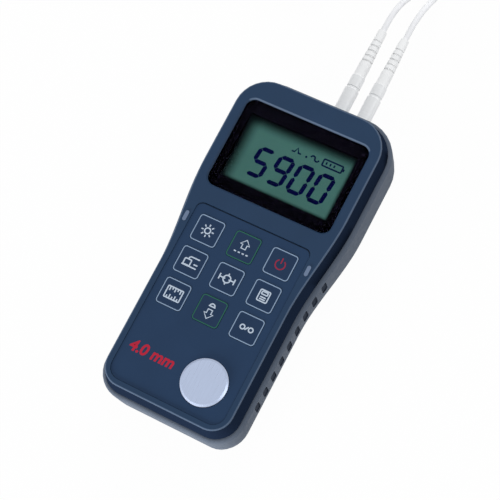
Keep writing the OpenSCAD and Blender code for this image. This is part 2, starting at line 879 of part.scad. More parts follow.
module battery_springs() {
    color("#c9ccd0") {
        spring(-cell_x, bay_low + contact_t, 1);
        spring(cell_x, bay_high - contact_t, -1);
    }
}

// Plugs, boots and leads of the probe's cable
module plug(x) {
    nose = socket_bore / 2 - nest;
    nose_low = 1.2 - socket_well;
    chamfer = 0.4;
    r = plug_d / 2;
    neck = r - 0.5;
    neck_l = 1;
    collar = r - 0.2;
    sleeve = plug_l * 0.66;
    color("#e3e5e7")
        turned_y(x, plug_start, socket_z)
            rotate_extrude()
                polygon([
                    [0, nose_low], [nose - chamfer, nose_low], [nose, nose_low + chamfer],
                    [nose, 0], [r - chamfer, 0], [r, chamfer], [r, sleeve - chamfer], [r - chamfer, sleeve],
                    [neck, sleeve], [neck, sleeve + neck_l], [collar, sleeve + neck_l],
                    [collar, plug_l - chamfer], [collar - chamfer, plug_l], [0, plug_l]
                ]);
}
module boot(x) {
    r = boot_d / 2;
    ribs = 5;
    rib_from = boot_l * 0.3;
    rib_pitch = boot_l * 0.11;
    taper_from = boot_l * 0.22;
    color("#d4d6d8")
        turned_y(x, plug_end, socket_z)
            difference() {
                rotate_extrude()
                    polygon([[0, 0], [r, 0], [r, taper_from], [boot_tip_d / 2, boot_l], [0, boot_l]]);
                for (i = [0:ribs - 1])
                    translate([0, 0, rib_from + i * rib_pitch])
                        rotate_extrude()
                            translate([boot_tip_d / 2 - 0.2, 0])
                                square([r, rib_pitch * 0.36]);
            }
}
module lead(path) {
    color("#cfd1d3") tube(path, lead_d);
}
module lead_joint() {
    r = lead_d / 2 + 1.2;
    end_l = 1;
    color("#c4c7ca")
        hull() {
            for (path = [lead_send_path, lead_receive_path])
                turned_y(path[len(path) - 1][0], joint_start, path[len(path) - 1][2])
                    cylinder(r = r, h = joint_grip, $fn = 24);
            turned_y(run_path[0][0], joint_end - end_l, run_path[0][2])
                cylinder(r = cable_d / 2 + 0.4, h = end_l, $fn = 24);
        }
}
module cable_run() {
    color("#cfd1d3") tube(run_path, cable_d, 10);
}
module cable_tail() {
    color("#cfd1d3") tube(tail_path, cable_d, 10);
}
module cable_coil() {
    round_r = cable_d / 2;
    color("#cfd1d3")
        translate([coil_centre[0], coil_centre[1], 0])
            rotate_extrude()
                translate([coil_r, coil_low])
                    polygon(rounded(2 * coil_half_w, 0, coil_h, round_r, round_r));
}
module coil_tie() {
    color("#22252a")
        translate([coil_centre[0], coil_centre[1] + coil_r, 0])
            rotate([90, 0, 90])
                translate([0, coil_low + coil_h / 2, -tie_w / 2])
                    linear_extrude(tie_w)
                        difference() {
                            polygon(rounded_box(
                                2 * (coil_half_w + tie_slack + tie_t), coil_h + 2 * coil_low,
                                cable_d / 2 + tie_t
                            ));
                            polygon(rounded_box(
                                2 * (coil_half_w + tie_slack), coil_h + 2 * nest, cable_d / 2
                            ));
                        }
}

// Two-element probe standing on its contact face
module probe_case() {
    r = probe_d / 2;
    foot = probe_face_d / 2 + probe_lip;
    color("#8d9298")
        translate([probe_spot[0], probe_spot[1], 0])
            difference() {
                rotate_extrude()
                    polygon([
                        [0, 0.2], [foot - 0.3, 0.2], [foot, 0.5], [foot, 4], [r - 0.4, 5.5], [r, 6.2],
                        [r, probe_h - 4], [r - 0.8, probe_h - 1.2], [r - 2.4, probe_h], [0, probe_h]
                    ]);
                translate([0, 0, -over]) cylinder(d = probe_face_d + 2 * nest, h = probe_face_t + over);
                translate([0, r - probe_sink, probe_exit_z])
                    rotate([-90, 0, 0])
                        cylinder(d = cable_d + 4, h = r);
            }
}
module probe_face() {
    split_w = 0.4;
    split_t = 0.6;
    color("#b98f4e")
        translate([probe_spot[0], probe_spot[1], 0])
            difference() {
                cylinder(d = probe_face_d, h = probe_face_t);
                translate([-probe_face_d, -split_w / 2, -over])
                    cube([2 * probe_face_d, split_w, split_t + over]);
            }
}
module probe_boot() {
    start = probe_spot[1] + probe_d / 2 - probe_sink;
    long = probe_boot_end - start;
    collar_r = cable_d / 2 + 1.8;
    collar_l = 3;
    tip_r = cable_d / 2 + 0.7;
    color("#2a2d32")
        turned_y(probe_spot[0], start, probe_exit_z)
            rotate_extrude()
                polygon([[0, 0], [collar_r, 0], [collar_r, collar_l], [tip_r, long], [0, long]]);
}

front_cover();
rear_case();
case_gasket();
battery_cover();
case_screws();
display_frame();
display_pane();
display_cell();
backlight_panel();
contact_strips();
keypad_overlay();
key(-1, 0);  // key_light
key(0, 0);  // key_up
key(1, 0);  // key_power
key(-1, 1);  // key_probe
key(0, 1);  // key_calibrate
key(1, 1);  // key_store
key(-1, 2);  // key_units
key(0, 2);  // key_down
key(1, 2);  // key_zero
key_switches();
main_board();
board_chips();
sounder();
test_block();
socket(socket_spots[0]);  // socket_send
socket(socket_spots[1]);  // socket_receive
socket_nuts();
power_cell(-cell_x, bay_low + contact_t + spring_l, 1);  // cell_left
power_cell(cell_x, bay_high - contact_t - spring_l, -1);  // cell_right
contact_bridge();
contact_tabs();
battery_springs();
plug(socket_spots[0]);  // plug_send
plug(socket_spots[1]);  // plug_receive
boot(socket_spots[0]);  // boot_send
boot(socket_spots[1]);  // boot_receive
lead(lead_send_path);  // lead_send
lead(lead_receive_path);  // lead_receive
lead_joint();
cable_run();
cable_coil();
coil_tie();
cable_tail();
probe_case();
probe_face();
probe_boot();
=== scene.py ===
"""Looks of a hand-held ultrasonic thickness gauge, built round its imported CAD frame.

The gauge lies on its back, face up. Sizes are written in millimetres and turned into the
frame's metres by MM, or are read from the frame's own nodes.
"""

import json
import logging
import math
from dataclasses import dataclass
from enum import Enum
from typing import Sequence

import bmesh
import bpy
from mathutils import Matrix, Vector

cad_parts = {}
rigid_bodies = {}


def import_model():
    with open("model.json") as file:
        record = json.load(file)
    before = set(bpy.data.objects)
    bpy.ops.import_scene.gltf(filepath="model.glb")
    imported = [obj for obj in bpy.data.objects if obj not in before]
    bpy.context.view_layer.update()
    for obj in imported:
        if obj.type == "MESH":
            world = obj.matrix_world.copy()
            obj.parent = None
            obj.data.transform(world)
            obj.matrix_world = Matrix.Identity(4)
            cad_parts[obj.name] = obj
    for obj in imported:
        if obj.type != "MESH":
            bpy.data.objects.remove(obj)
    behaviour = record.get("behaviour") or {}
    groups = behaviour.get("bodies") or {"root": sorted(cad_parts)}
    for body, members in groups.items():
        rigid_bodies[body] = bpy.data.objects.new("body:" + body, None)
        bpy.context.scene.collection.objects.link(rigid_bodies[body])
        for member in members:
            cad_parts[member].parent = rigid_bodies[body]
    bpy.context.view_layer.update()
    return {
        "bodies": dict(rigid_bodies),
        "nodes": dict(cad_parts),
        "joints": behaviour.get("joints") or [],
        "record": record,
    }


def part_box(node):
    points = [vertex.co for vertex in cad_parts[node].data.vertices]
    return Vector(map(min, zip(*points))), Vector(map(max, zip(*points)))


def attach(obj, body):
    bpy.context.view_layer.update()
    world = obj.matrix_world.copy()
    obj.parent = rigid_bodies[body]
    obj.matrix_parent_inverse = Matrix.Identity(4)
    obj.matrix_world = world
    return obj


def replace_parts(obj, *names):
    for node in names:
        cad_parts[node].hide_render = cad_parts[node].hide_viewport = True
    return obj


MM = 0.001
INK_MM = 0.03  # how far ink stands out of its face
MERGE_MM = 0.002  # corners of a CAD mesh closer than this are one corner
CLOSE_MM = 0.0005  # and so are corners of a new mesh closer than this
FULL_TURN = 360
LOG = logging.getLogger("gauge")
BODY = "gauge"

Colour = tuple[float, float, float]
Point = tuple[float, float]
Spot = tuple[float, float, float]
Socket = bpy.types.NodeSocket


def srgb(red: int, green: int, blue: int) -> Colour:
    """Linear colour of a screen colour.

    Args:
        red: Red on the screen, up to 255.
        green: Green on the screen.
        blue: Blue on the screen.

    Returns:
        The linear colour.
    """
    parts = [value / 255 for value in (red, green, blue)]
    return tuple(part / 12.92 if part <= 0.04045 else ((part + 0.055) / 1.055) ** 2.4 for part in parts)


class Detail(Enum):
    """How many octaves of ever finer grain a noise has."""

    SOFT = 2
    PLAIN = 3
    RICH = 4
    FINE = 5


class Board:
    """A material's node tree, with short calls for the nodes that the finishes share."""

    def __init__(self, name: str) -> None:
        """Starts a material with one Principled shader.

        Args:
            name: Name of the material.
        """
        self.material = bpy.data.materials.new(name)
        self.material.use_nodes = True
        self.tree = self.material.node_tree
        self.tree.nodes.clear()
        self.output = self.node("ShaderNodeOutputMaterial")
        self.shader = self.node("ShaderNodeBsdfPrincipled")
        self.link(self.shader.outputs["BSDF"], self.output.inputs["Surface"])
        self.place = self.node("ShaderNodeTexCoord").outputs["Object"]

    def node(self, kind: str, **inputs: object) -> bpy.types.Node:
        """Adds a node.

        Args:
            kind: Blender's name of the node.
            inputs: Values of its inputs, with spaces written as underscores.

        Returns:
            The new node.
        """
        made = self.tree.nodes.new(kind)
        for name, value in inputs.items():
            made.inputs[name.replace("_", " ")].default_value = value
        return made

    def link(self, source: Socket, target: Socket) -> None:
        """Joins two sockets."""
        self.tree.links.new(source, target)

    def feed(self, name: str, source: Socket) -> None:
        """Joins a socket to one of the Principled shader's inputs."""
        self.link(source, self.shader.inputs[name])

    def set(self, **inputs: object) -> None:
        """Sets plain values on the Principled shader's own sockets."""
        for name, value in inputs.items():
            self.shader.inputs[name.replace("_", " ")].default_value = value

    def stretched(self, scale: Sequence[float], centre: Sequence[float] = (0, 0, 0)) -> Socket:
        """Object coordinates about a centre, stretched along the axes.

        Args:
            scale: Stretch along each axis.
            centre: Point that becomes the pattern's origin.

        Returns:
            The mapped coordinates.
        """
        mapping = self.node("ShaderNodeMapping")
        mapping.inputs["Location"].default_value = [-c * s for c, s in zip(centre, scale)]
        mapping.inputs["Scale"].default_value = list(scale)
        self.link(self.place, mapping.inputs["Vector"])
        return mapping.outputs["Vector"]

    def axes(self, place: Socket) -> bpy.types.Node:
        """Splits coordinates into X, Y and Z.

        Args:
            place: The coordinates.

        Returns:
            The node with the three outputs.
        """
        parts = self.node("ShaderNodeSeparateXYZ")
        self.link(place, parts.inputs["Vector"])
        return parts

    def noise(self, grain_mm: float, detail: Detail = Detail.PLAIN, rough: float = 0.55,
              place: Socket | None = None) -> Socket:
        """Noise with grains of a real size.

        Args:
            grain_mm: Size of a grain in millimetres.
            detail: Octaves of the noise.
            rough: Weight of the finer octaves.
            place: Coordinates to use instead of the object's own.

        Returns:
            The noise's value, about 0.5 on average.
        """
        made = self.node("ShaderNodeTexNoise", Scale=1 / (grain_mm * MM), Detail=detail.value,
                         Roughness=rough)
        self.link(place or self.place, made.inputs["Vector"])
        return made.outputs["Fac"]

    def cells(self, grain_mm: float) -> Socket:
        """Distance to the nearest of many scattered points, for spark-eroded grain.

        Args:
            grain_mm: Distance between two points in millimetres.

        Returns:
            The distance.
        """
        made = self.node("ShaderNodeTexVoronoi", Scale=1 / (grain_mm * MM))
        self.link(self.place, made.inputs["Vector"])
        return made.outputs["Distance"]

    def spread(self, value: Socket, low: float, high: float, start: float = 0.3, end: float = 0.7) -> Socket:
        """Maps one range of a value onto another.

        Args:
            value: The value.
            low: Result at the start.
            high: Result at the end.
            start: Where the value's range starts.
            end: Where it ends.

        Returns:
            The mapped value.
        """
        made = self.node("ShaderNodeMapRange", From_Min=start, From_Max=end, To_Min=low, To_Max=high)
        self.link(value, made.inputs["Value"])
        return made.outputs["Result"]

    def combined(self, operation: str, values: Sequence[Socket]) -> Socket:
        """Joins several values by one operation.

        Args:
            operation: Blender's name of the operation.
            values: The values.

        Returns:
            The result.
        """
        found = values[0]
        for value in values[1:]:
            step = self.node("ShaderNodeMath")
            step.operation = operation
            self.link(found, step.inputs[0])
            self.link(value, step.inputs[1])
            found = step.outputs["Value"]
        return found

    def blend(self, amount: Socket, low: Colour, high: Colour) -> Socket:
        """Colour between two.

        Args:
            amount: How much of the second colour, from 0 to 1.
            low: The first colour.
            high: The second colour.

        Returns:
            The blended colour.
        """
        made = self.node("ShaderNodeValToRGB")
        for stop, colour in zip(made.color_ramp.elements, (low, high)):
            stop.color = (*colour, 1)
        self.link(amount, made.inputs["Fac"])
        return made.outputs["Color"]

    def tinted(self, colour: Colour, amount: Socket, swing: float) -> None:
        """Colours the shader with a tone that swings round one colour.

        Args:
            colour: The colour in the middle.
            amount: Place in the swing, from 0 to 1.
            swing: Share by which the tone swings to each side.
        """
        low = tuple(c * (1 - swing) for c in colour)
        high = tuple(c * (1 + swing) for c in colour)
        self.feed("Base Color", self.blend(amount, low, high))

    def worn(self, value: Socket, middle: float, swing: float) -> None:
        """Lets the shader's roughness swing round a middle value."""
        self.feed("Roughness", self.spread(value, middle - swing, middle + swing))

    def bump(self, height: Socket, depth_mm: float) -> None:
        """Roughens the surface.

        Args:
            height: The height pattern, from 0 to 1.
            depth_mm: Its real depth in millimetres.
        """
        made = self.node("ShaderNodeBump", Strength=1, Distance=depth_mm * MM)
        self.link(height, made.inputs["Height"])
        self.feed("Normal", made.outputs["Normal"])


@dataclass(frozen=True)
class Plastic:
    """Moulded plastic with a fine spark-eroded grain.

    Args:
        name: Name of the material.
        colour: Linear base colour.
        roughness: Middle roughness.
        grain_mm: Size of the grain.
        depth_mm: Depth of the grain.
        gloss: Specular level.
    """

    name: str
    colour: Colour
    roughness: float = 0.5
    grain_mm: float = 0.35
    depth_mm: float = 0.012
    gloss: float = 0.3

    TONE_MM, TONE_SWING = 14, 0.1
    WEAR_MM, WEAR_SWING = 3, 0.06

    def make(self) -> bpy.types.Material:
        """Builds the material.

        Returns:
            The material.
        """
        board = Board(self.name)
        board.tinted(self.colour, board.noise(self.TONE_MM, Detail.RICH), self.TONE_SWING)
        board.worn(board.noise(self.WEAR_MM, Detail.FINE), self.roughness, self.WEAR_SWING)
        board.set(Specular_IOR_Level=self.gloss)
        board.bump(board.cells(self.grain_mm), self.depth_mm)
        return board.material


@dataclass(frozen=True)
class Rubber:
    """Soft moulded rubber or cable jacket.

    Args:
        name: Name of the material.
        colour: Linear base colour.
        roughness: Middle roughness.
    """

    name: str
    colour: Colour
    roughness: float = 0.6

    TONE_MM, WEAR_MM, SWING = 6, 1.2, 0.08
    GLOSS, SHEEN = 0.35, 0.1
    GRAIN_MM, DEPTH_MM = 0.25, 0.01

    def make(self) -> bpy.types.Material:
        """Builds the material.

        Returns:
            The material.
        """
        board = Board(self.name)
        board.tinted(self.colour, board.noise(self.TONE_MM, Detail.FINE), self.SWING)
        board.worn(board.noise(self.WEAR_MM), self.roughness, self.SWING)
        board.set(Specular_IOR_Level=self.GLOSS, Sheen_Weight=self.SHEEN)
        board.bump(board.noise(self.GRAIN_MM, Detail.SOFT), self.DEPTH_MM)
        return board.material


class Lay(Enum):
    """How the fine tool marks lie on a metal, as the stretch of its grain along each axis."""

    GROUND = (1.0, 0.04, 1.0)
    TURNED_Y = (0.04, 1.0, 0.04)
    TURNED_Z = (0.04, 0.04, 1.0)
    BLASTED = (1.0, 1.0, 1.0)


@dataclass(frozen=True)
class Metal:
    """Metal with its tool marks.

    Args:
        name: Name of the material.
        colour: Linear reflectance.
        roughness: Middle roughness.
        lay: Direction of the tool marks.
        grain_mm: Spacing of the tool marks.
        depth_mm: Depth of the tool marks.
        bare: How metallic it looks, from 0 for a milky satin plating to 1 for bare metal.
    """

    name: str
    colour: Colour
    roughness: float = 0.3
    lay: Lay = Lay.BLASTED
    grain_mm: float = 0.3
    depth_mm: float = 0.004
    bare: float = 1

    FINE_MARKS, TONE_SWING, WEAR_SWING = 0.6, 0.1, 0.08

    def make(self) -> bpy.types.Material:
        """Builds the material.

        Returns:
            The material.
        """
        board = Board(self.name)
        marks = board.noise(self.grain_mm, Detail.RICH, self.FINE_MARKS, board.stretched(self.lay.value))
        board.tinted(self.colour, marks, self.TONE_SWING)
        board.worn(marks, self.roughness, self.WEAR_SWING)
        board.set(Metallic=self.bare)
        board.bump(marks, self.depth_mm)
        return board.material


@dataclass(frozen=True)
class Ink:
    """Printed ink, a little uneven.

    Args:
        name: Name of the material.
        colour: Linear colour.
        roughness: Roughness of the dry ink.
        gloss: Specular level.
    """

    name: str
    colour: Colour
    roughness: float = 0.55
    gloss: float = 0.25

    TONE_MM, TONE_SWING = 0.5, 0.12
    GRAIN_MM, DEPTH_MM = 0.15, 0.004

    def make(self) -> bpy.types.Material:
        """Builds the material.

        Returns:
            The material.
        """
        board = Board(self.name)
        board.tinted(self.colour, board.noise(self.TONE_MM, Detail.RICH), self.TONE_SWING)
        board.set(Roughness=self.roughness, Specular_IOR_Level=self.gloss)
        board.bump(board.noise(self.GRAIN_MM, Detail.SOFT), self.DEPTH_MM)
        return board.material


@dataclass(frozen=True)
class ClearPane:
    """Clear hard-coated pane over the display, coated so that it hardly mirrors.

    Args:
        name: Name of the material.
    """

    name: str

    TINT, BEND = (0.97, 0.985, 0.99, 1), 1.06
    HAZE_MM, HAZE, HAZE_SWING = 9, 0.0275, 0.0125

    def make(self) -> bpy.types.Material:
        """Builds the material.

        Returns:
            The material.
        """
        board = Board(self.name)
        board.set(Base_Color=self.TINT, Transmission_Weight=1.0, IOR=self.BEND)
        board.worn(board.noise(self.HAZE_MM), self.HAZE, self.HAZE_SWING)
        return board.material


@dataclass(frozen=True)
class DisplayGlass:
    """Grey-green face of a reflective display, with a painted shadow of its frame that darkens it towards the
    edges.

    Args:
        name: Name of the material.
        lit: Linear colour in the middle.
        shaded: Linear colour of the painted shadow at the edges.
        centre: Middle of the visible part.
        half: Half the visible width and height.
        fades: Widths of the painted shadow's margins at the left, the right, the top and the bottom.
    """

    name: str
    lit: Colour
    shaded: Colour
    centre: Vector
    half: tuple[float, float]
    fades: tuple[float, float, float, float]

    ROUGHNESS, GRAIN_MM, DEPTH_MM = 0.6, 0.2, 0.003
    PATCH_MM, PATCH_DARK, PATCH_LIGHT = 11, 0.9, 1.0

    def make(self) -> bpy.types.Material:
        """Builds the material.

        Returns:
            The material.
        """
        board = Board(self.name)
        parts = board.axes(board.stretched((1, 1, 1), self.centre)).outputs
        width, height = self.half
        left, right, top, low = self.fades
        # The four fades paint the frame's shadow on the face; the fifth factor is a random mottle
        shades = (self.fade(board, parts["X"], -width, left),
                  self.fade(board, parts["X"], width, -right),
                  self.fade(board, parts["Y"], height, -top),
                  self.fade(board, parts["Y"], -height, low),
                  board.spread(board.noise(self.PATCH_MM), self.PATCH_DARK, self.PATCH_LIGHT))
        board.feed("Base Color", board.blend(board.combined("MULTIPLY", shades), self.shaded, self.lit))
        board.set(Roughness=self.ROUGHNESS, Specular_IOR_Level=0.0)
        board.bump(board.noise(self.GRAIN_MM, Detail.SOFT), self.DEPTH_MM)
        return board.material

    @staticmethod
    def fade(board: Board, along: Socket, edge: float, width: float) -> Socket:
        """A painted shade that grows softly from an edge inwards.

        Args:
            board: The material's nodes.
            along: The coordinate across the edge.
            edge: Where the shade is 0.
            width: How far inside the edge it is 1.

        Returns:
            The shade.
        """
        made = board.node("ShaderNodeMapRange", From_Min=edge, From_Max=edge + width)
        made.interpolation_type = "SMOOTHSTEP"
        board.link(along, made.inputs["Value"])
        return made.outputs["Result"]


@dataclass(frozen=True)
class Sleeve:
    """Plain printed sleeve of a battery cell, with a pale band at one end.

    Args:
        name: Name of the material.
        body: Linear colour of the sleeve.
        band: Linear colour of the end band.
        band_from: Height along Y where the band starts.
        flip: Whether the band lies below that height.
    """

    name: str
    body: Colour
    band: Colour
    band_from: float
    flip: bool = False

    EDGE_MM, GRAIN_MM, DEPTH_MM = 0.1, 0.6, 0.004
    WEAR_MM, ROUGHNESS, WEAR_SWING = 4, 0.34, 0.06

    def make(self) -> bpy.types.Material:
        """Builds the material.

        Returns:
            The material.
        """
        board = Board(self.name)
        along = board.axes(board.place).outputs["Y"]
        ends = (1, 0) if self.flip else (0, 1)
        edge = board.spread(along, *ends, self.band_from, self.band_from + self.EDGE_MM * MM)
        board.feed("Base Color", board.blend(edge, self.body, self.band))
        board.worn(board.noise(self.WEAR_MM), self.ROUGHNESS, self.WEAR_SWING)
        board.bump(board.noise(self.GRAIN_MM, Detail.SOFT), self.DEPTH_MM)
        return board.material


@dataclass(frozen=True)
class SolderMask:
    """Green circuit board with faint tracks under its lacquer.

    Args:
        name: Name of the material.
        base: Linear colour between the tracks.
        track: Linear colour over the tracks.
    """

    name: str
    base: Colour
    track: Colour

    PITCH_MM, TRACK_SHARE, TRACK_RISE_MM = 5, 0.06, 0.02
    WEAR_MM, ROUGHNESS, WEAR_SWING = 3, 0.315, 0.065

    def make(self) -> bpy.types.Material:
        """Builds the material.

        Returns:
            The material.
        """
        board = Board(self.name)
        base, track = (*self.base, 1), (*self.track, 1)
        tracks = board.node("ShaderNodeTexBrick", Scale=1 / (self.PITCH_MM * MM), Color1=base, Color2=base,
                            Mortar=track, Mortar_Size=self.TRACK_SHARE)
        board.link(board.place, tracks.inputs["Vector"])
        board.feed("Base Color", tracks.outputs["Color"])
        board.worn(board.noise(self.WEAR_MM), self.ROUGHNESS, self.WEAR_SWING)
        board.bump(tracks.outputs["Fac"], self.TRACK_RISE_MM)
        return board.material


Finish = Plastic | Rubber | Metal | Ink | ClearPane | DisplayGlass | Sleeve | SolderMask


class Finishes:
    """Every material of the gauge, made once and shared."""

    def __init__(self) -> None:
        """Starts with no material made."""
        self.made: dict[str, bpy.types.Material] = {}

    def of(self, finish: Finish) -> bpy.types.Material:
        """The material of a finish, made at its first use.

        Args:
            finish: The finish.

        Returns:
            Its material.
        """
        if finish.name not in self.made:
            self.made[finish.name] = finish.make()
        return self.made[finish.name]


COVER = Plastic("cover_plastic", srgb(36, 58, 85), 0.38, grain_mm=0.32, depth_mm=0.008, gloss=0.25)
# Darker colour on the cover's steep outer walls, a painted shade
COVER_WALL = Plastic("cover_wall", srgb(28, 39, 58), 0.7, grain_mm=0.32, depth_mm=0.008, gloss=0.0)
# Paler colour on the cover's upper edge and the window's upper bevel, a painted highlight
COVER_EDGE = Plastic("cover_edge", srgb(79, 96, 119), 0.4, grain_mm=0.32, depth_mm=0.004, gloss=0.2)
CASE = Plastic("case_plastic", srgb(92, 101, 115), 0.62, grain_mm=0.4, gloss=0.07)
# Darker colour in the grip slots, a painted shade
SLOT = Plastic("slot_shade", srgb(52, 59, 72), 0.75, grain_mm=0.4, gloss=0.04)
# Paler colour on the rim's pips, a painted highlight
PIP = Plastic("pip_grey", srgb(104, 120, 146))
SEAL = Rubber("seal_rubber", srgb(20, 22, 26), 0.7)
SCREW = Metal("screw_steel", (0.62, 0.63, 0.65), 0.34, grain_mm=0.5)
BLACK = Plastic("frame_black", srgb(11, 9, 19), 0.8, grain_mm=0.2, depth_mm=0.002, gloss=0.0)
PANEL = Plastic("panel_white", srgb(228, 230, 226), 0.6)
STRIP = Rubber("strip_rubber", srgb(90, 94, 100))
FILM = Plastic("overlay_film", srgb(35, 57, 86), grain_mm=0.16, depth_mm=0.005, gloss=0.2)
KEY_FILM = Plastic("key_film", srgb(32, 52, 80), grain_mm=0.16, depth_mm=0.005, gloss=0.2)
SWITCH = Plastic("switch_black", srgb(28, 30, 34))
MASK = SolderMask("board_green", srgb(24, 92, 58), srgb(36, 116, 74))
STEEL = Metal("block_steel", (0.65, 0.745, 0.97), 0.34, Lay.GROUND, grain_mm=0.35, depth_mm=0.002, bare=0.6)
NICKEL = Metal("satin_nickel", (0.95, 0.955, 0.96), 0.45, Lay.TURNED_Y, grain_mm=0.25, depth_mm=0.002,
               bare=0.2)
CONTACT = Metal("contact_metal", (0.66, 0.56, 0.32), grain_mm=0.6)
SPRING = Metal("spring_steel", (0.66, 0.67, 0.69), 0.25, grain_mm=0.4)
BOOT = Rubber("boot_rubber", srgb(252, 252, 252))
JACKET = Rubber("cable_jacket", srgb(247, 247, 249), 0.5)
JOINT = Plastic("joint_grey", srgb(226, 228, 231))
TIE = Plastic("tie_black", srgb(28, 30, 34))
PROBE = Metal("probe_metal", (0.50, 0.52, 0.55), 0.32, Lay.TURNED_Z)
WEAR = Plastic("probe_wear", srgb(176, 138, 76), 0.35, grain_mm=0.5, depth_mm=0.004)
PROBE_RUBBER = Rubber("probe_rubber", srgb(34, 36, 41))
PALE_INK = Ink("pale_ink", srgb(184, 197, 212))
LINE_INK = Ink("line_ink", srgb(134, 155, 180))
GREEN_INK = Ink("green_ink", srgb(40, 96, 78))
RED_INK = Ink("red_ink", srgb(176, 30, 54))
DIM_RED_INK = Ink("dim_red_ink", srgb(142, 36, 60))
SEGMENT = Ink("segment_dark", srgb(8, 12, 60), 0.6, gloss=0.0)

NODE_FINISHES: dict[str, Finish] = {
    "case_gasket": SEAL, "case_screws": SCREW,
    "backlight_panel": PANEL, "contact_strips": STRIP, "keypad_overlay": FILM,
    "key_switches": SWITCH, "sounder": SWITCH, "board_chips": SWITCH, "main_board": MASK,
    "test_block": STEEL, "socket_send": NICKEL, "socket_receive": NICKEL, "socket_nuts": NICKEL,
    "plug_send": NICKEL, "plug_receive": NICKEL, "contact_bridge": CONTACT, "contact_tabs": CONTACT,
    "battery_springs": SPRING, "boot_send": BOOT, "boot_receive": BOOT, "coil_tie": TIE,
    "probe_case": PROBE, "probe_face": WEAR, "probe_boot": PROBE_RUBBER,
}


def add(name: str, data: bpy.types.ID) -> bpy.types.Object:
    """Adds an object to the scene.

    Args:
        name: Its name.
        data: Its mesh, curve, lamp or camera.

    Returns:
        The object.
    """
    made = bpy.data.objects.new(name, data)
    bpy.context.scene.collection.objects.link(made)
    return made


def dress(piece: bpy.types.Object, material: bpy.types.Material) -> None:
    """Gives a piece one material."""
    piece.data.materials.clear()
    piece.data.materials.append(material)


def settle(name: str, mesh: bpy.types.Mesh, material: bpy.types.Material,
           body: str = BODY, crisp: float = 32) -> bpy.types.Object:
    """Makes a finished mesh a piece of the gauge.

    Args:
        name: Name of the piece.
        mesh: Its mesh, in place.
        material: Its material.
        body: The CAD body that it rides on.
        crisp: Edges sharper than this many degrees stay crisp.

    Returns:
        The piece.
    """
    mesh.name = name
    piece = add(name, mesh)
    mesh.shade_smooth()
    mesh.set_sharp_from_angle(angle=math.radians(crisp))
    dress(piece, material)
    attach(piece, body)
    LOG.info("%s: %d faces on %s", name, len(mesh.polygons), body)
    return piece


def merged(source: bpy.types.Object) -> bmesh.types.BMesh:
    """A copy of a CAD node's mesh, with its doubles merged.

    Args:
        source: The CAD node.

    Returns:
        The bmesh.
    """
    shape = bmesh.new()
    shape.from_mesh(source.data)
    bmesh.ops.remove_doubles(shape, verts=shape.verts, dist=MERGE_MM * MM)
    return shape


def poured(shape: bmesh.types.BMesh) -> bpy.types.Mesh:
    """Turns a bmesh into a mesh as it is.

    Args:
        shape: The bmesh, which is freed.

    Returns:
        The mesh.
    """
    mesh = bpy.data.meshes.new("mesh")
    shape.to_mesh(mesh)
    shape.free()
    return mesh


def closed(shape: bmesh.types.BMesh) -> bpy.types.Mesh:
    """Turns a bmesh into a mesh, with its doubles merged and its faces turned outwards.

    Args:
        shape: The bmesh, which is freed.

    Returns:
        The mesh.
    """
    bmesh.ops.remove_doubles(shape, verts=shape.verts, dist=CLOSE_MM * MM)
    bmesh.ops.recalc_face_normals(shape, faces=shape.faces)
    return poured(shape)


def laid(curve: bpy.types.Curve, place: Matrix) -> bpy.types.Mesh:
    """Turns a curve or a text into a mesh in its place.

    Args:
        curve: The curve.
        place: Its place.

    Returns:
        The mesh.
    """
    holder = add("print", curve)
    graph = bpy.context.evaluated_depsgraph_get()
    mesh = bpy.data.meshes.new_from_object(holder.evaluated_get(graph))
    bpy.data.objects.remove(holder)
    mesh.transform(place)
    mesh.materials.clear()
    return mesh


def around(x: float, y: float, radius: float, angle: float) -> Point:
    """Point on a circle about a centre, at an angle in degrees."""
    turn = math.radians(angle)
    return x + radius * math.cos(turn), y + radius * math.sin(turn)


@dataclass(frozen=True)
class Line:
    """A printed line with corners.

    Args:
        points: Its corners, in millimetres.
        closed: Whether it goes back to its start.
    """

    points: Sequence[Point]
    closed: bool = False

    def path(self) -> Sequence[Point]:
        """Points of the line."""
        return self.points


@dataclass(frozen=True)
class Arc:
    """A printed arc or circle.

    Args:
        x: Its centre across, in millimetres.
        y: Its centre along.
        radius: Its radius.
        start: Angle where it starts, in degrees.
        sweep: Angle that it covers, anticlockwise.
        steps: Number of its straight steps.
    """

    x: float
    y: float
    radius: float
    start: float = 0
    sweep: float = FULL_TURN
    steps: int = 28

    @property
    def closed(self) -> bool:
        """Whether it is a whole circle."""
        return abs(self.sweep) == FULL_TURN

    def path(self) -> Sequence[Point]:
        """Points of the arc, the last one left out where it would repeat the first.

        Returns:
            The points.
        """
        count = self.steps if self.closed else self.steps + 1
        return [around(self.x, self.y, self.radius, self.start + self.sweep * step / self.steps)
                for step in range(count)]


@dataclass(frozen=True)
class Box:
    """A printed rounded rectangle.

    Args:
        x: Its centre across, in millimetres.
        y: Its centre along.
        width: Its width.
        height: Its height.
        radius: Radius of its corners.
    """

    x: float
    y: float
    width: float
    height: float
    radius: float

    closed = True
    CORNERS = ((1, 1, 0), (-1, 1, 90), (-1, -1, 180), (1, -1, 270))
    CORNER_ANGLES = (0, 18, 36, 54, 72, 90)

    def path(self) -> Sequence[Point]:
        """Points of the outline, corner by corner.

        Returns:
            The points.
        """
        points = []
        for across, along, start in self.CORNERS:
            x = self.x + across * (self.width / 2 - self.radius)
            y = self.y + along * (self.height / 2 - self.radius)
            points += [around(x, y, self.radius, start + angle) for angle in self.CORNER_ANGLES]
        return points


Stroke = Line | Arc | Box
STROKE_SIDES = 2  # steps in the round edge of a printed stroke


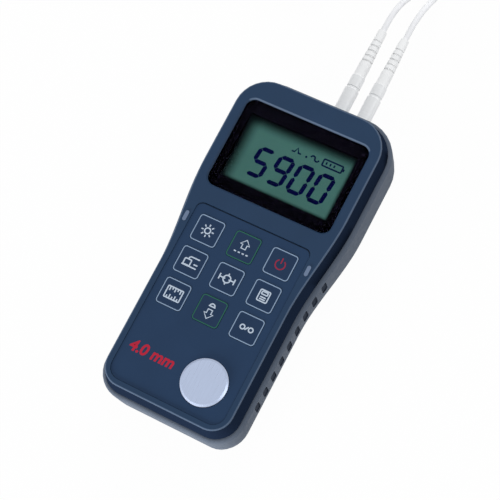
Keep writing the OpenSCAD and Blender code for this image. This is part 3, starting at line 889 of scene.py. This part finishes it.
def printed(strokes: Sequence[Stroke], width: float, spot: Vector) -> bpy.types.Mesh:
    """Prints strokes on a face, flat and with round ends.

    Args:
        strokes: The strokes.
        width: Width of a stroke, in millimetres.
        spot: Origin of the drawing on the face.

    Returns:
        The mesh, in place.
    """
    curve = bpy.data.curves.new("strokes", "CURVE")
    curve.dimensions = "3D"
    curve.bevel_depth = width * MM / 2
    curve.bevel_resolution = STROKE_SIDES
    curve.use_fill_caps = True
    for stroke in strokes:
        path = stroke.path()
        spline = curve.splines.new("POLY")
        spline.points.add(len(path) - 1)
        for target, (x, y) in zip(spline.points, path):
            target.co = (x * MM, y * MM, 0, 1)
        spline.use_cyclic_u = stroke.closed
    flat = Matrix.Diagonal((1, 1, 2 * INK_MM / width, 1))
    return laid(curve, Matrix.Translation(spot) @ flat)


class Sign(Enum):
    """Signs printed on the keys, each with the name of its key."""

    LIGHT = "key_light"
    UP = "key_up"
    POWER = "key_power"
    PROBE = "key_probe"
    CALIBRATE = "key_calibrate"
    STORE = "key_store"
    UNITS = "key_units"
    DOWN = "key_down"
    ZERO = "key_zero"


# Drawings of the signs, in millimetres from the middle of the key or of the display.
UP_ARROW = ((0, 3.3), (2.1, 1.1), (1, 1.1), (1, -0.7), (-1, -0.7), (-1, 1.1), (-2.1, 1.1))
DOWN_ARROW = ((0, -3.4), (2.1, -1.2), (1, -1.2), (1, 0.6), (-1, 0.6), (-1, -1.2), (-2.1, -1.2))
UP_DASHES = ((-3.2, -2.2), (-1.4, -0.4), (0.4, 1.4), (2.2, 3.2))
RULER_MARKS = ((-2.4, 0.7, -1.4), (-1.2, 1.4, -0.7), (0, 0.7, -1.4), (1.2, 1.4, -0.7), (2.4, 0.7, -1.4))
LEVEL_BARS = (13.8, 15.6, 17.4)
PULSE = ((-2.2, 7.1), (-0.9, 7.1), (0, 9.2), (0.9, 7.1), (2.2, 7.1))

KEY_SIGNS: dict[Sign, tuple[Stroke, ...]] = {
    Sign.LIGHT: (Arc(0, 0, 1.25), *(Line((around(0, 0, 1.9, turn), around(0, 0, 2.9, turn)))
                                    for turn in range(0, FULL_TURN, 45))),
    Sign.POWER: (Arc(0, -0.2, 2.1, 125, 290), Line(((0, 0.2), (0, 2.7)))),
    Sign.UP: (Line(UP_ARROW, True), *(Line(((start, -2.7), (end, -2.7))) for start, end in UP_DASHES)),
    Sign.DOWN: (Line(DOWN_ARROW, True), Line(((-1.5, 2), (1.5, 2))), Arc(0, 2.1, 1.1, 0, 180, 12)),
    Sign.PROBE: (Box(-1.4, -0.4, 3, 2.6, 0.3), Line(((-1.4, 0.9), (-1.4, 1.7), (-0.8, 2.2), (3.3, 2.2))),
                 Line(((-3.4, -1.9), (3.4, -1.9))), Line(((1.6, -0.4), (3.4, -0.4)))),
    Sign.CALIBRATE: (Arc(0, 0, 1.6),
                     *(Line(((0.8 * side, 0), (3.4 * side, 0))) for side in (-1, 1)),
                     *(Line(((3.4 * side, -1.3), (3.4 * side, 1.3))) for side in (-1, 1)),
                     *(Line(((0, 1.6 * side), (0, 2.5 * side))) for side in (-1, 1))),
    Sign.STORE: (Box(0, 0, 4.4, 4.8, 0.5), Box(0, 1.2, 2.6, 1.2, 0.2),
                 *(Line(((-1.3, y), (1.3, y))) for y in (-0.6, -1.5))),
    Sign.UNITS: (Box(0, 0, 7, 5, 0.3),
                 *(Line(((x, 2.4), (x, upper))) for x, upper, _ in RULER_MARKS),
                 *(Line(((x, -2.4), (x, lower))) for x, _, lower in RULER_MARKS)),
    Sign.ZERO: (Arc(-1.9, 0, 0.95), Line(((-0.6, -0.8), (0.6, 0.8))), Arc(1.9, 0, 0.95)),
}

DISPLAY_SIGNS: tuple[Stroke, ...] = (
    Line(PULSE), Arc(4.7, 7.0, 0.15), Arc(7.5, 7.7, 0.95, 180, -180, 8), Arc(9.4, 7.7, 0.95, 180, 180, 8),
    Box(16.6, 7.9, 8.8, 3, 0.4), Line(((21.7, 7.3), (21.7, 8.5))),
    *(Line(((x, 7.3), (x, 8.5))) for x in LEVEL_BARS),
)


@dataclass(frozen=True)
class Skin:
    """A smooth skin over one CAD solid.

    Args:
        name: Name of the piece.
        node: The CAD node that it replaces.
        finishes: Its finishes, the main one first.
        slot: The record's material slot; not used.
        body: The CAD body that it rides on.
    """

    name: str
    node: str
    finishes: tuple[Plastic, ...]
    slot: str
    body: str = BODY


@dataclass
class Housing:
    """Front cover, rear case, battery cover and lead joint, as smooth skins of their CAD solids."""

    finishes: Finishes
    skins: tuple[Skin, ...] = (
        Skin("cover_skin", "front_cover", (COVER, COVER_WALL, COVER_EDGE), "cover_plastic"),
        Skin("case_skin", "rear_case", (CASE, SLOT), "case_plastic"),
        Skin("battery_skin", "battery_cover", (CASE,), "case_plastic", "battery_door"),
        Skin("joint_skin", "lead_joint", (JOINT,), "joint_grey"),
    )
    flat: float = 0.4  # degrees by which the triangles of a flat face may turn
    crisp: float = 33  # degrees past which an edge stays crisp
    steep: float = 0.35  # dot product under which two directions count as square
    level: float = 0.99  # height of a normal past which a face counts as level
    # The next three bound the painted shade on the walls, and the painted highlight on the upper edge and the
    # window's bevel
    wall_below: float = 0.8  # depth under the cover's top where its walls start
    edge_below: float = 1.1  # depth under the cover's top where its edge ends
    bevel_reach: float = 1.5  # how far the window's bevel reaches past the pane
    slot_corners: int = 20  # fewest corners of a grip slot's floor
    slot_area: tuple[float, float] = (18, 34)  # least and greatest area of that floor
    pip_rise: float = 0.2
    pip_proud: float = 0.03

    # Places in a skin's list of the finishes that paint shade on walls and in recesses, and a highlight on
    # edges
    WALL, EDGE, RECESS = 1, 2, 1

    def build(self, nodes: dict[str, bpy.types.Object]) -> None:
        """Builds the skins and the caps of the rim's pips.

        Args:
            nodes: The frame's CAD nodes.
        """
        marks = {"front_cover": self.mark_edges, "rear_case": self.mark_slots}
        for skin in self.skins:
            shape = merged(nodes[skin.node])
            self.flatten(shape)
            if skin.node in marks:
                marks[skin.node](shape)
            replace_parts(self.cover(skin, shape), skin.node)
        self.pips(nodes["front_cover"])

    def flatten(self, shape: bmesh.types.BMesh) -> None:
        """Joins the triangles of each flat face."""
        bmesh.ops.dissolve_limit(shape, angle_limit=math.radians(self.flat), verts=shape.verts,
                                 edges=shape.edges)

    def cover(self, skin: Skin, shape: bmesh.types.BMesh) -> bpy.types.Object:
        """Makes a skin whose flat faces stay flat beside its roundings.

        Args:
            skin: What the skin is.
            shape: Its bmesh, with a finish marked on each face.

        Returns:
            The skin's piece.
        """
        marks = [face.material_index for face in shape.faces]
        mesh = poured(shape)
        main, *others = [self.finishes.of(finish) for finish in skin.finishes]
        piece = settle(skin.name, mesh, main, skin.body, self.crisp)
        for other in others:
            mesh.materials.append(other)
        mesh.polygons.foreach_set("material_index", marks)
        piece.modifiers.new("even_normals", "WEIGHTED_NORMAL").keep_sharp = True
        return piece

    def mark_edges(self, shape: bmesh.types.BMesh) -> None:
        """Marks the cover's outer walls for a painted shade, and its upper edge and the upper bevel of its
        window for a painted highlight.

        Args:
            shape: The cover's bmesh.
        """
        top = max(vert.co.z for vert in shape.verts)
        low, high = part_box("display_pane")
        reach = self.bevel_reach * MM
        for face in shape.faces:
            face.normal_update()
            centre = face.calc_center_median()
            outward = face.normal.xy.dot(centre.xy) > 0
            in_window = all(start - reach < at < end + reach
                            for start, at, end in zip(low.xy, centre.xy, high.xy))
            if abs(face.normal.z) < self.steep:
                below = centre.z < top - self.wall_below * MM
                face.material_index = self.WALL if outward and below else 0
            elif face.normal.z < self.level and centre.z > top - self.edge_below * MM:
                if face.normal.y < -self.steep or not in_window:
                    face.material_index = self.EDGE

    def mark_slots(self, shape: bmesh.types.BMesh) -> None:
        """Marks the grip slots' flat floors and the walls round them, for a painted shade in the recesses.

        Args:
            shape: The case's bmesh.
        """
        low, high = (area * MM * MM for area in self.slot_area)
        for face in shape.faces:
            face.normal_update()
        for floor in shape.faces:
            if len(floor.verts) < self.slot_corners or not low < floor.calc_area() < high:
                continue
            for edge in floor.edges:
                for wall in edge.link_faces:
                    if wall is floor or abs(wall.normal.dot(floor.normal)) < self.steep:
                        wall.material_index = self.RECESS

    def pips(self, cover: bpy.types.Object) -> None:
        """Caps the two pips, the highest points of the cover, in a paler finish that paints a highlight on
        them.

        Args:
            cover: The cover's CAD node.
        """
        shape = merged(cover)
        top = max(vert.co.z for vert in shape.verts)
        below = [vert for vert in shape.verts if top - vert.co.z > self.pip_rise * MM / 2]
        bmesh.ops.delete(shape, geom=below, context="VERTS")
        self.flatten(shape)
        for face in shape.faces:
            centre = face.calc_center_bounds()
            reach = max((vert.co - centre).length for vert in face.verts)
            grown = 1 + self.pip_proud * MM / reach
            bmesh.ops.scale(shape, vec=(grown, grown, 1), space=Matrix.Translation(-centre), verts=face.verts)
        bmesh.ops.translate(shape, verts=shape.verts, vec=(0, 0, self.pip_proud * MM))
        base = bmesh.ops.extrude_face_region(shape, geom=list(shape.faces), use_keep_orig=True)
        low = [vert for vert in base["geom"] if isinstance(vert, bmesh.types.BMVert)]
        bmesh.ops.translate(shape, verts=low, vec=(0, 0, -self.pip_rise * MM))
        settle("rim_pips", closed(shape), self.finishes.of(PIP))


@dataclass
class Display:
    """Pane, black frame, display face and its seven-segment reading."""

    finishes: Finishes
    reading: str = "5900"
    digit_size: tuple[float, float] = (5.9, 12.1)  # between the middles of the bars
    pitch: float = 9.45
    bar: float = 1.85
    end_gap: float = 0.08
    slant: float = 0.09  # as a share of the height
    first: Point = (-15.2, -9.2)  # lower left corner of the first digit, from the middle
    cad_view: tuple[float, float] = (47.6, 26.2)  # opening of the CAD frame
    view: tuple[float, float] = (50.6, 30)  # opening shown
    sink: float = 0.03  # of the frame's face under the pane
    # Painted shadow of the frame on the display face: widths of its margins, and the colours in the middle
    # and at the edges
    fades: tuple[float, float, float, float] = (7.4, 2, 6.3, 2)  # left, right, top and bottom
    lit: Colour = srgb(80, 124, 116)
    shaded: Colour = srgb(9, 15, 20)
    sign_width: float = 0.7

    SEGMENTS = {"0": "abcdef", "5": "afgcd", "9": "abcdfg"}
    BARS = {"a": ((0, 2), (1, 2)), "b": ((1, 1), (1, 2)), "c": ((1, 0), (1, 1)), "d": ((0, 0), (1, 0)),
            "e": ((0, 0), (0, 1)), "f": ((0, 1), (0, 2)), "g": ((0, 1), (1, 1))}

    def __post_init__(self) -> None:
        """Reads the display's place from the frame."""
        low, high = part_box("display_cell")
        self.middle = (low + high) / 2
        self.face = high.z

    def build(self, nodes: dict[str, bpy.types.Object]) -> None:
        """Dresses the display's nodes and adds the reading and the small signs.

        Args:
            nodes: The frame's CAD nodes.
        """
        half = tuple(side / 2 * MM for side in self.view)
        fades = tuple(fade * MM for fade in self.fades)
        glass = DisplayGlass("display_glass", self.lit, self.shaded, self.middle, half, fades)
        dress(nodes["display_cell"], self.finishes.of(glass))
        dress(nodes["display_pane"], self.finishes.of(ClearPane("pane_clear")))
        self.widen(nodes["display_frame"])
        shape = bmesh.new()
        for index, digit in enumerate(self.reading):
            for name in self.SEGMENTS[digit]:
                self.segment(shape, index, name)
        ink = self.finishes.of(SEGMENT)
        settle("reading", closed(shape), ink)
        spot = Vector((self.middle.x, self.middle.y, self.face))
        settle("display_signs", printed(DISPLAY_SIGNS, self.sign_width, spot), ink)

    def widen(self, frame: bpy.types.Object) -> None:
        """Replaces the black frame by one whose opening is as wide as the photograph's.

        Its face lies a hair below the pane, so that the two don't share a plane.

        Args:
            frame: The frame's CAD node.
        """
        shape = merged(frame)
        slack = self.sink * MM
        reach = [side / 2 * MM + slack for side in self.cad_view]
        grow = [(wide - side) / 2 * MM for wide, side in zip(self.view, self.cad_view)]
        top = max(vert.co.z for vert in shape.verts)
        for vert in shape.verts:
            if top - vert.co.z < slack:
                vert.co.z = top - slack
            off = vert.co.xy - self.middle.xy
            if abs(off.x) < reach[0] and abs(off.y) < reach[1]:
                vert.co.x += math.copysign(grow[0], off.x)
                vert.co.y += math.copysign(grow[1], off.y)
        piece = settle("frame_skin", closed(shape), self.finishes.of(BLACK))
        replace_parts(piece, "display_frame")

    def segment(self, shape: bmesh.types.BMesh, index: int, name: str) -> None:
        """Adds one bar of a digit, a flat plate with pointed ends.

        Args:
            shape: The bmesh of the reading.
            index: Place of the digit, from the left.
            name: Letter of the bar, from a at the top, clockwise, to g in the middle.
        """
        width, height = self.digit_size
        start, end = [Vector((u * width, v * height / 2)) for u, v in self.BARS[name]]
        along = (end - start).normalized()
        side = Vector((-along.y, along.x)) * self.bar / 2
        tip = along * self.bar / 2
        start, end = start + along * self.end_gap, end - along * self.end_gap
        outline = [start, start + tip - side, end - tip - side, end, end - tip + side, start + tip + side]
        corners = []
        for corner in outline:
            x = self.first[0] + index * self.pitch + corner.x + self.slant * corner.y
            y = self.first[1] + corner.y
            spot = (self.middle.x + x * MM, self.middle.y + y * MM, self.face - INK_MM * MM)
            corners.append(shape.verts.new(spot))
        base = shape.faces.new(corners)
        grown = bmesh.ops.extrude_face_region(shape, geom=[base], use_keep_orig=True)
        top = [vert for vert in grown["geom"] if isinstance(vert, bmesh.types.BMVert)]
        bmesh.ops.translate(shape, verts=top, vec=(0, 0, 2 * INK_MM * MM))


@dataclass
class Keypad:
    """Keys with printed outlines and signs, and the print on the overlay."""

    finishes: Finishes
    outline_w: float = 0.42
    outline_in: float = 0.23
    outline_r: float = 1.2
    stroke: float = 0.56
    top_slack: float = 0.01  # height under a key's top that still counts as its top face
    label: str = "4.0 mm"
    label_at: Point = (-13.2, -54.2)
    label_size: float = 6.8
    label_bold: float = 0.2
    label_lean: float = 0.15

    def build(self, nodes: dict[str, bpy.types.Object]) -> None:
        """Dresses the keys and prints their outlines and signs.

        Args:
            nodes: The frame's CAD nodes.
        """
        for sign in Sign:
            key = sign.value
            dress(nodes[key], self.finishes.of(KEY_FILM))
            low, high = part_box(key)
            spot = Vector(((low.x + high.x) / 2, (low.y + high.y) / 2, high.z))
            side = self.top_side(nodes[key], high.z) - 2 * self.outline_in
            ring = GREEN_INK if sign in (Sign.UP, Sign.DOWN) else LINE_INK
            outline = printed([Box(0, 0, side, side, self.outline_r)], self.outline_w, spot)
            settle(f"{key}_outline", outline, self.finishes.of(ring), key)
            ink = DIM_RED_INK if sign is Sign.POWER else PALE_INK
            mark = printed(KEY_SIGNS[sign], self.stroke, spot)
            settle(f"{key}_sign", mark, self.finishes.of(ink), key)
        self.print_label()

    def top_side(self, key: bpy.types.Object, top: float) -> float:
        """Width of a key's top face, in millimetres."""
        across = [vert.co.x for vert in key.data.vertices if top - vert.co.z < self.top_slack * MM]
        return (max(across) - min(across)) / MM

    def print_label(self) -> None:
        """Prints the test block's thickness on the overlay beside the block."""
        text = bpy.data.curves.new("label", "FONT")
        text.body = self.label
        text.size = self.label_size * MM
        text.align_x = "CENTER"
        text.align_y = "CENTER"
        text.offset = self.label_bold * MM
        text.shear = self.label_lean
        text.extrude = INK_MM * MM
        x, y = self.label_at
        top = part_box("keypad_overlay")[1].z
        mesh = laid(text, Matrix.Translation((x * MM, y * MM, top)))
        settle("thickness_print", mesh, self.finishes.of(RED_INK))


@dataclass
class BatteryBay:
    """Two cells with plain sleeves, laid head to tail."""

    finishes: Finishes
    sleeve: Colour = srgb(40, 44, 50)
    band: Colour = srgb(196, 168, 112)
    band_mm: float = 13

    def build(self, nodes: dict[str, bpy.types.Object]) -> None:
        """Dresses the cells.

        Args:
            nodes: The frame's CAD nodes.
        """
        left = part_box("cell_left")[1].y - self.band_mm * MM
        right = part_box("cell_right")[0].y + self.band_mm * MM
        for side, start, flip in (("left", left, False), ("right", right, True)):
            finish = Sleeve(f"sleeve_{side}", self.sleeve, self.band, start, flip)
            dress(nodes[f"cell_{side}"], self.finishes.of(finish))


@dataclass
class ProbeLead:
    """Two short leads that meet in one cable, coiled and tied beside the probe.

    The routes repeat the points of the part's source, in millimetres.
    """

    finishes: Finishes
    lead_d: float = 2.6
    cable_d: float = 4.5
    lead_y: tuple[float, ...] = (117.5, 120, 123, 126, 129, 132, 135, 138, 141, 144, 147, 150, 153, 156, 159,
                                 162, 164)
    lead_z: tuple[float, ...] = (14, 14, 13.9, 13.6, 13, 12.1, 10.9, 9.4, 7.9, 6.5, 5.3, 4.3, 3.6, 3.1, 2.8,
                                 2.7, 2.7)
    send_x: tuple[float, ...] = (4.2, 4.2, 4.2, 4.3, 4.5, 4.8, 5.3, 6, 6.9, 8, 9.1, 10.3, 11.5, 12.6, 13.4,
                                 13.7, 13.7)
    receive_x: tuple[float, ...] = (14.8, 14.8, 14.8, 14.8, 14.9, 15, 15.1, 15.3, 15.6, 16, 16.3, 16.6, 16.9,
                                    17.1, 17.3, 17.3, 17.3)
    run: tuple[Spot, ...] = (
        (15.5, 180, 2.8), (15.5, 182, 2.8), (15.5, 184, 2.9), (15.5, 186, 2.9), (15.5, 190, 2.9),
        (15.5, 194, 2.9), (15.5, 198, 2.9))
    tail: tuple[Spot, ...] = (
        (-46, 198, 7.5), (-46, 194, 7.6), (-46, 190, 7.9), (-46, 187, 8.4), (-46, 184, 9.2),
        (-46, 181, 10.8), (-46, 178, 12.5), (-46, 174, 14.5), (-46, 170, 15.9), (-46, 166, 16.5),
        (-46, 163, 16.5))
    coil_centre: Point = (-16.4, 202)
    lower_turns: float = 3
    upper_turns: float = 2.5
    outer_r: float = 31.9  # where the lower layer starts
    inner_r: float = 18.1  # where it ends
    climb_r: float = 17.5  # where the upper layer starts
    leave_r: float = 29.6  # where it ends
    lower_z: float = 2.9
    upper_z: float = 7.5
    climb_turn: float = 0.33  # part of a turn in which the cable climbs
    settle_turn: float = 0.1  # part of a turn in which it settles to the new radius
    steps: int = 24  # points in a turn
    round_steps: int = 5
    bend_steps: int = 4

    def build(self) -> None:
        """Builds the leads and the cable."""
        for name, across, joint in (("send", self.send_x, ["joint_skin"]), ("receive", self.receive_x, [])):
            route = list(zip(across, self.lead_y, self.lead_z))
            lead = self.cord(f"lead_{name}_cord", route, self.lead_d)
            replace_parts(lead, f"lead_{name}")
        route = [*self.run, *self.turns(), *self.tail]
        cable = self.cord("probe_cable", route, self.cable_d)
        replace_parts(cable, "cable_run", "cable_coil", "cable_tail")

    def turns(self) -> list[Spot]:
        """Points of the coil: a layer wound inwards on the table, and one wound outwards on top.

        Returns:
            The points, in millimetres.
        """
        points = []
        for step in range(int((self.lower_turns + self.upper_turns) * self.steps) + 1):
            turn = step / self.steps
            if turn <= self.lower_turns:
                radius = self.outer_r + (self.inner_r - self.outer_r) * turn / self.lower_turns
                height = self.lower_z
            else:
                upper = turn - self.lower_turns
                rise = min(1.0, upper / self.climb_turn)
                height = self.lower_z + (self.upper_z - self.lower_z) * rise * rise * (3 - 2 * rise)
                ease = min(1.0, upper / self.settle_turn)
                start = self.inner_r + (self.climb_r - self.inner_r) * ease
                radius = start + (self.leave_r - self.climb_r) * upper / self.upper_turns
            points.append((*around(*self.coil_centre, radius, FULL_TURN * turn), height))
        return points

    @staticmethod
    def length(route: Sequence[Spot]) -> float:
        """Length of a route through its points, in metres."""
        return sum((Vector(b) - Vector(a)).length for a, b in zip(route, route[1:])) * MM

    def cord(self, name: str, route: Sequence[Spot], diameter: float) -> bpy.types.Object:
        """A round cord along a route.

        Args:
            name: Name of the piece.
            route: Points in millimetres.
            diameter: Diameter in millimetres.

        Returns:
            The cord, a curve of one open spline.
        """
        curve = bpy.data.curves.new(name, "CURVE")
        curve.dimensions = "3D"
        curve.bevel_depth = diameter * MM / 2
        curve.bevel_resolution = self.round_steps
        curve.resolution_u = self.bend_steps
        curve.use_fill_caps = True
        spline = curve.splines.new("BEZIER")
        spline.bezier_points.add(len(route) - 1)
        for target, point in zip(spline.bezier_points, route):
            target.co = [c * MM for c in point]
            target.handle_left_type = "AUTO"
            target.handle_right_type = "AUTO"
        piece = add(name, curve)
        dress(piece, self.finishes.of(JACKET))
        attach(piece, BODY)
        LOG.info("%s: %d points", name, len(route))
        return piece


@dataclass(frozen=True)
class Lamp:
    """A soft flat lamp that looks at the gauge.

    Args:
        name: Name of the lamp.
        spot: Where it hangs, in metres.
        size: Its width and height, in metres.
        power: Its power in watts.
        mirrored: Whether glossy surfaces mirror it, so that it leaves a highlight.
        through_pane: Whether its light passes the display's pane.
    """

    name: str
    spot: Spot
    size: tuple[float, float]
    power: float
    mirrored: bool = False
    through_pane: bool = True

    def hang(self) -> None:
        """Hangs the lamp."""
        data = bpy.data.lights.new(self.name, "AREA")
        data.shape = "RECTANGLE"
        data.size, data.size_y = self.size
        data.energy = self.power
        holder = add(self.name, data)
        holder.visible_glossy = self.mirrored
        holder.visible_transmission = self.through_pane
        holder.location = self.spot
        holder.rotation_euler = (-Vector(self.spot)).to_track_quat("-Z", "Y").to_euler()


@dataclass
class Studio:
    """Pale floor, soft light and the camera at the photograph's angle."""

    camera_at: Spot = (192.7, -130.6, 663.6)
    camera_turn: Spot = (17.802, 9.525, 27.846)
    lens: float = 118.65
    sensor: float = 36
    clip: tuple[float, float] = (0.01, 50)  # in metres
    floor_side: float = 6.0  # in metres
    floor_grey: float = 0.8
    floor_rough: float = 0.9
    floor_gloss: float = 0.1
    floor_glow: float = 0.97  # share of plain white in the floor as it is seen
    sky_tint: Colour = (0.96, 0.98, 1.0)
    sky: float = 0.52
    lamps: tuple[Lamp, ...] = (
        Lamp("back", (-0.1, 0.8, 0.7), (0.7, 0.5), 4.6),
        Lamp("front", (-0.35, -1.3, 0.27), (1.2, 0.3), 17.0, through_pane=False),
        Lamp("glint", (-0.35, -1.3, 0.27), (1.2, 0.3), 5.0, mirrored=True, through_pane=False),
        Lamp("right", (1.0, 0.1, 0.7), (0.9, 0.4), 2.0, mirrored=True),
    )

    WHITE = (1, 1, 1, 1)
    SEEN_RAYS = ("Is Camera Ray", "Is Glossy Ray", "Is Transmission Ray")

    def camera(self) -> None:
        """Places the camera."""
        data = bpy.data.cameras.new("camera")
        data.lens = self.lens
        data.sensor_width = self.sensor
        data.clip_start, data.clip_end = self.clip
        holder = add("camera", data)
        holder.location = [c * MM for c in self.camera_at]
        holder.rotation_euler = [math.radians(angle) for angle in self.camera_turn]
        bpy.context.scene.camera = holder

    def floor(self) -> None:
        """Lays a floor that looks white, also in metal and glass, and keeps a soft shadow."""
        shape = bmesh.new()
        bmesh.ops.create_grid(shape, x_segments=1, y_segments=1, size=self.floor_side / 2)
        floor = add("floor", poured(shape))
        board = Board("floor_white")
        grey = [self.floor_grey] * 3
        board.set(Base_Color=(*grey, 1), Roughness=self.floor_rough, Specular_IOR_Level=self.floor_gloss)
        path = board.node("ShaderNodeLightPath")
        seen = board.combined("MAXIMUM", [path.outputs[name] for name in self.SEEN_RAYS])
        glow = board.node("ShaderNodeEmission", Color=self.WHITE, Strength=1.0)
        mix = board.node("ShaderNodeMixShader")
        board.link(board.spread(seen, 0, self.floor_glow, 0, 1), mix.inputs["Fac"])
        board.link(board.shader.outputs["BSDF"], mix.inputs[1])
        board.link(glow.outputs["Emission"], mix.inputs[2])
        board.link(mix.outputs["Shader"], board.output.inputs["Surface"])
        dress(floor, board.material)

    def light(self) -> None:
        """Sets the soft sky, which looks white to the camera, and hangs the lamps."""
        world = bpy.data.worlds.new("studio")
        bpy.context.scene.world = world
        world.use_nodes = True
        tree = world.node_tree
        tree.nodes.clear()
        output = tree.nodes.new("ShaderNodeOutputWorld")
        path = tree.nodes.new("ShaderNodeLightPath")
        mix = tree.nodes.new("ShaderNodeMixShader")
        tree.links.new(path.outputs["Is Camera Ray"], mix.inputs["Fac"])
        for place, colour, strength in ((1, (*self.sky_tint, 1), self.sky), (2, self.WHITE, 1.0)):
            glow = tree.nodes.new("ShaderNodeBackground")
            glow.inputs["Color"].default_value = colour
            glow.inputs["Strength"].default_value = strength
            tree.links.new(glow.outputs["Background"], mix.inputs[place])
        tree.links.new(mix.outputs["Shader"], output.inputs["Surface"])
        for lamp in self.lamps:
            lamp.hang()


def main() -> None:
    """Builds the looks in order and reports each piece."""
    logging.basicConfig(level=logging.INFO, format="%(name)s %(message)s")
    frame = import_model()
    bpy.context.scene.view_settings.view_transform = "Standard"
    nodes = frame["nodes"]
    finishes = Finishes()
    studio = Studio()
    studio.camera()
    Housing(finishes).build(nodes)
    ProbeLead(finishes).build()
    for node, finish in NODE_FINISHES.items():
        dress(nodes[node], finishes.of(finish))
    Display(finishes).build(nodes)
    Keypad(finishes).build(nodes)
    BatteryBay(finishes).build(nodes)
    studio.floor()
    studio.light()
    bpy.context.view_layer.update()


if __name__ == "__main__":
    main()
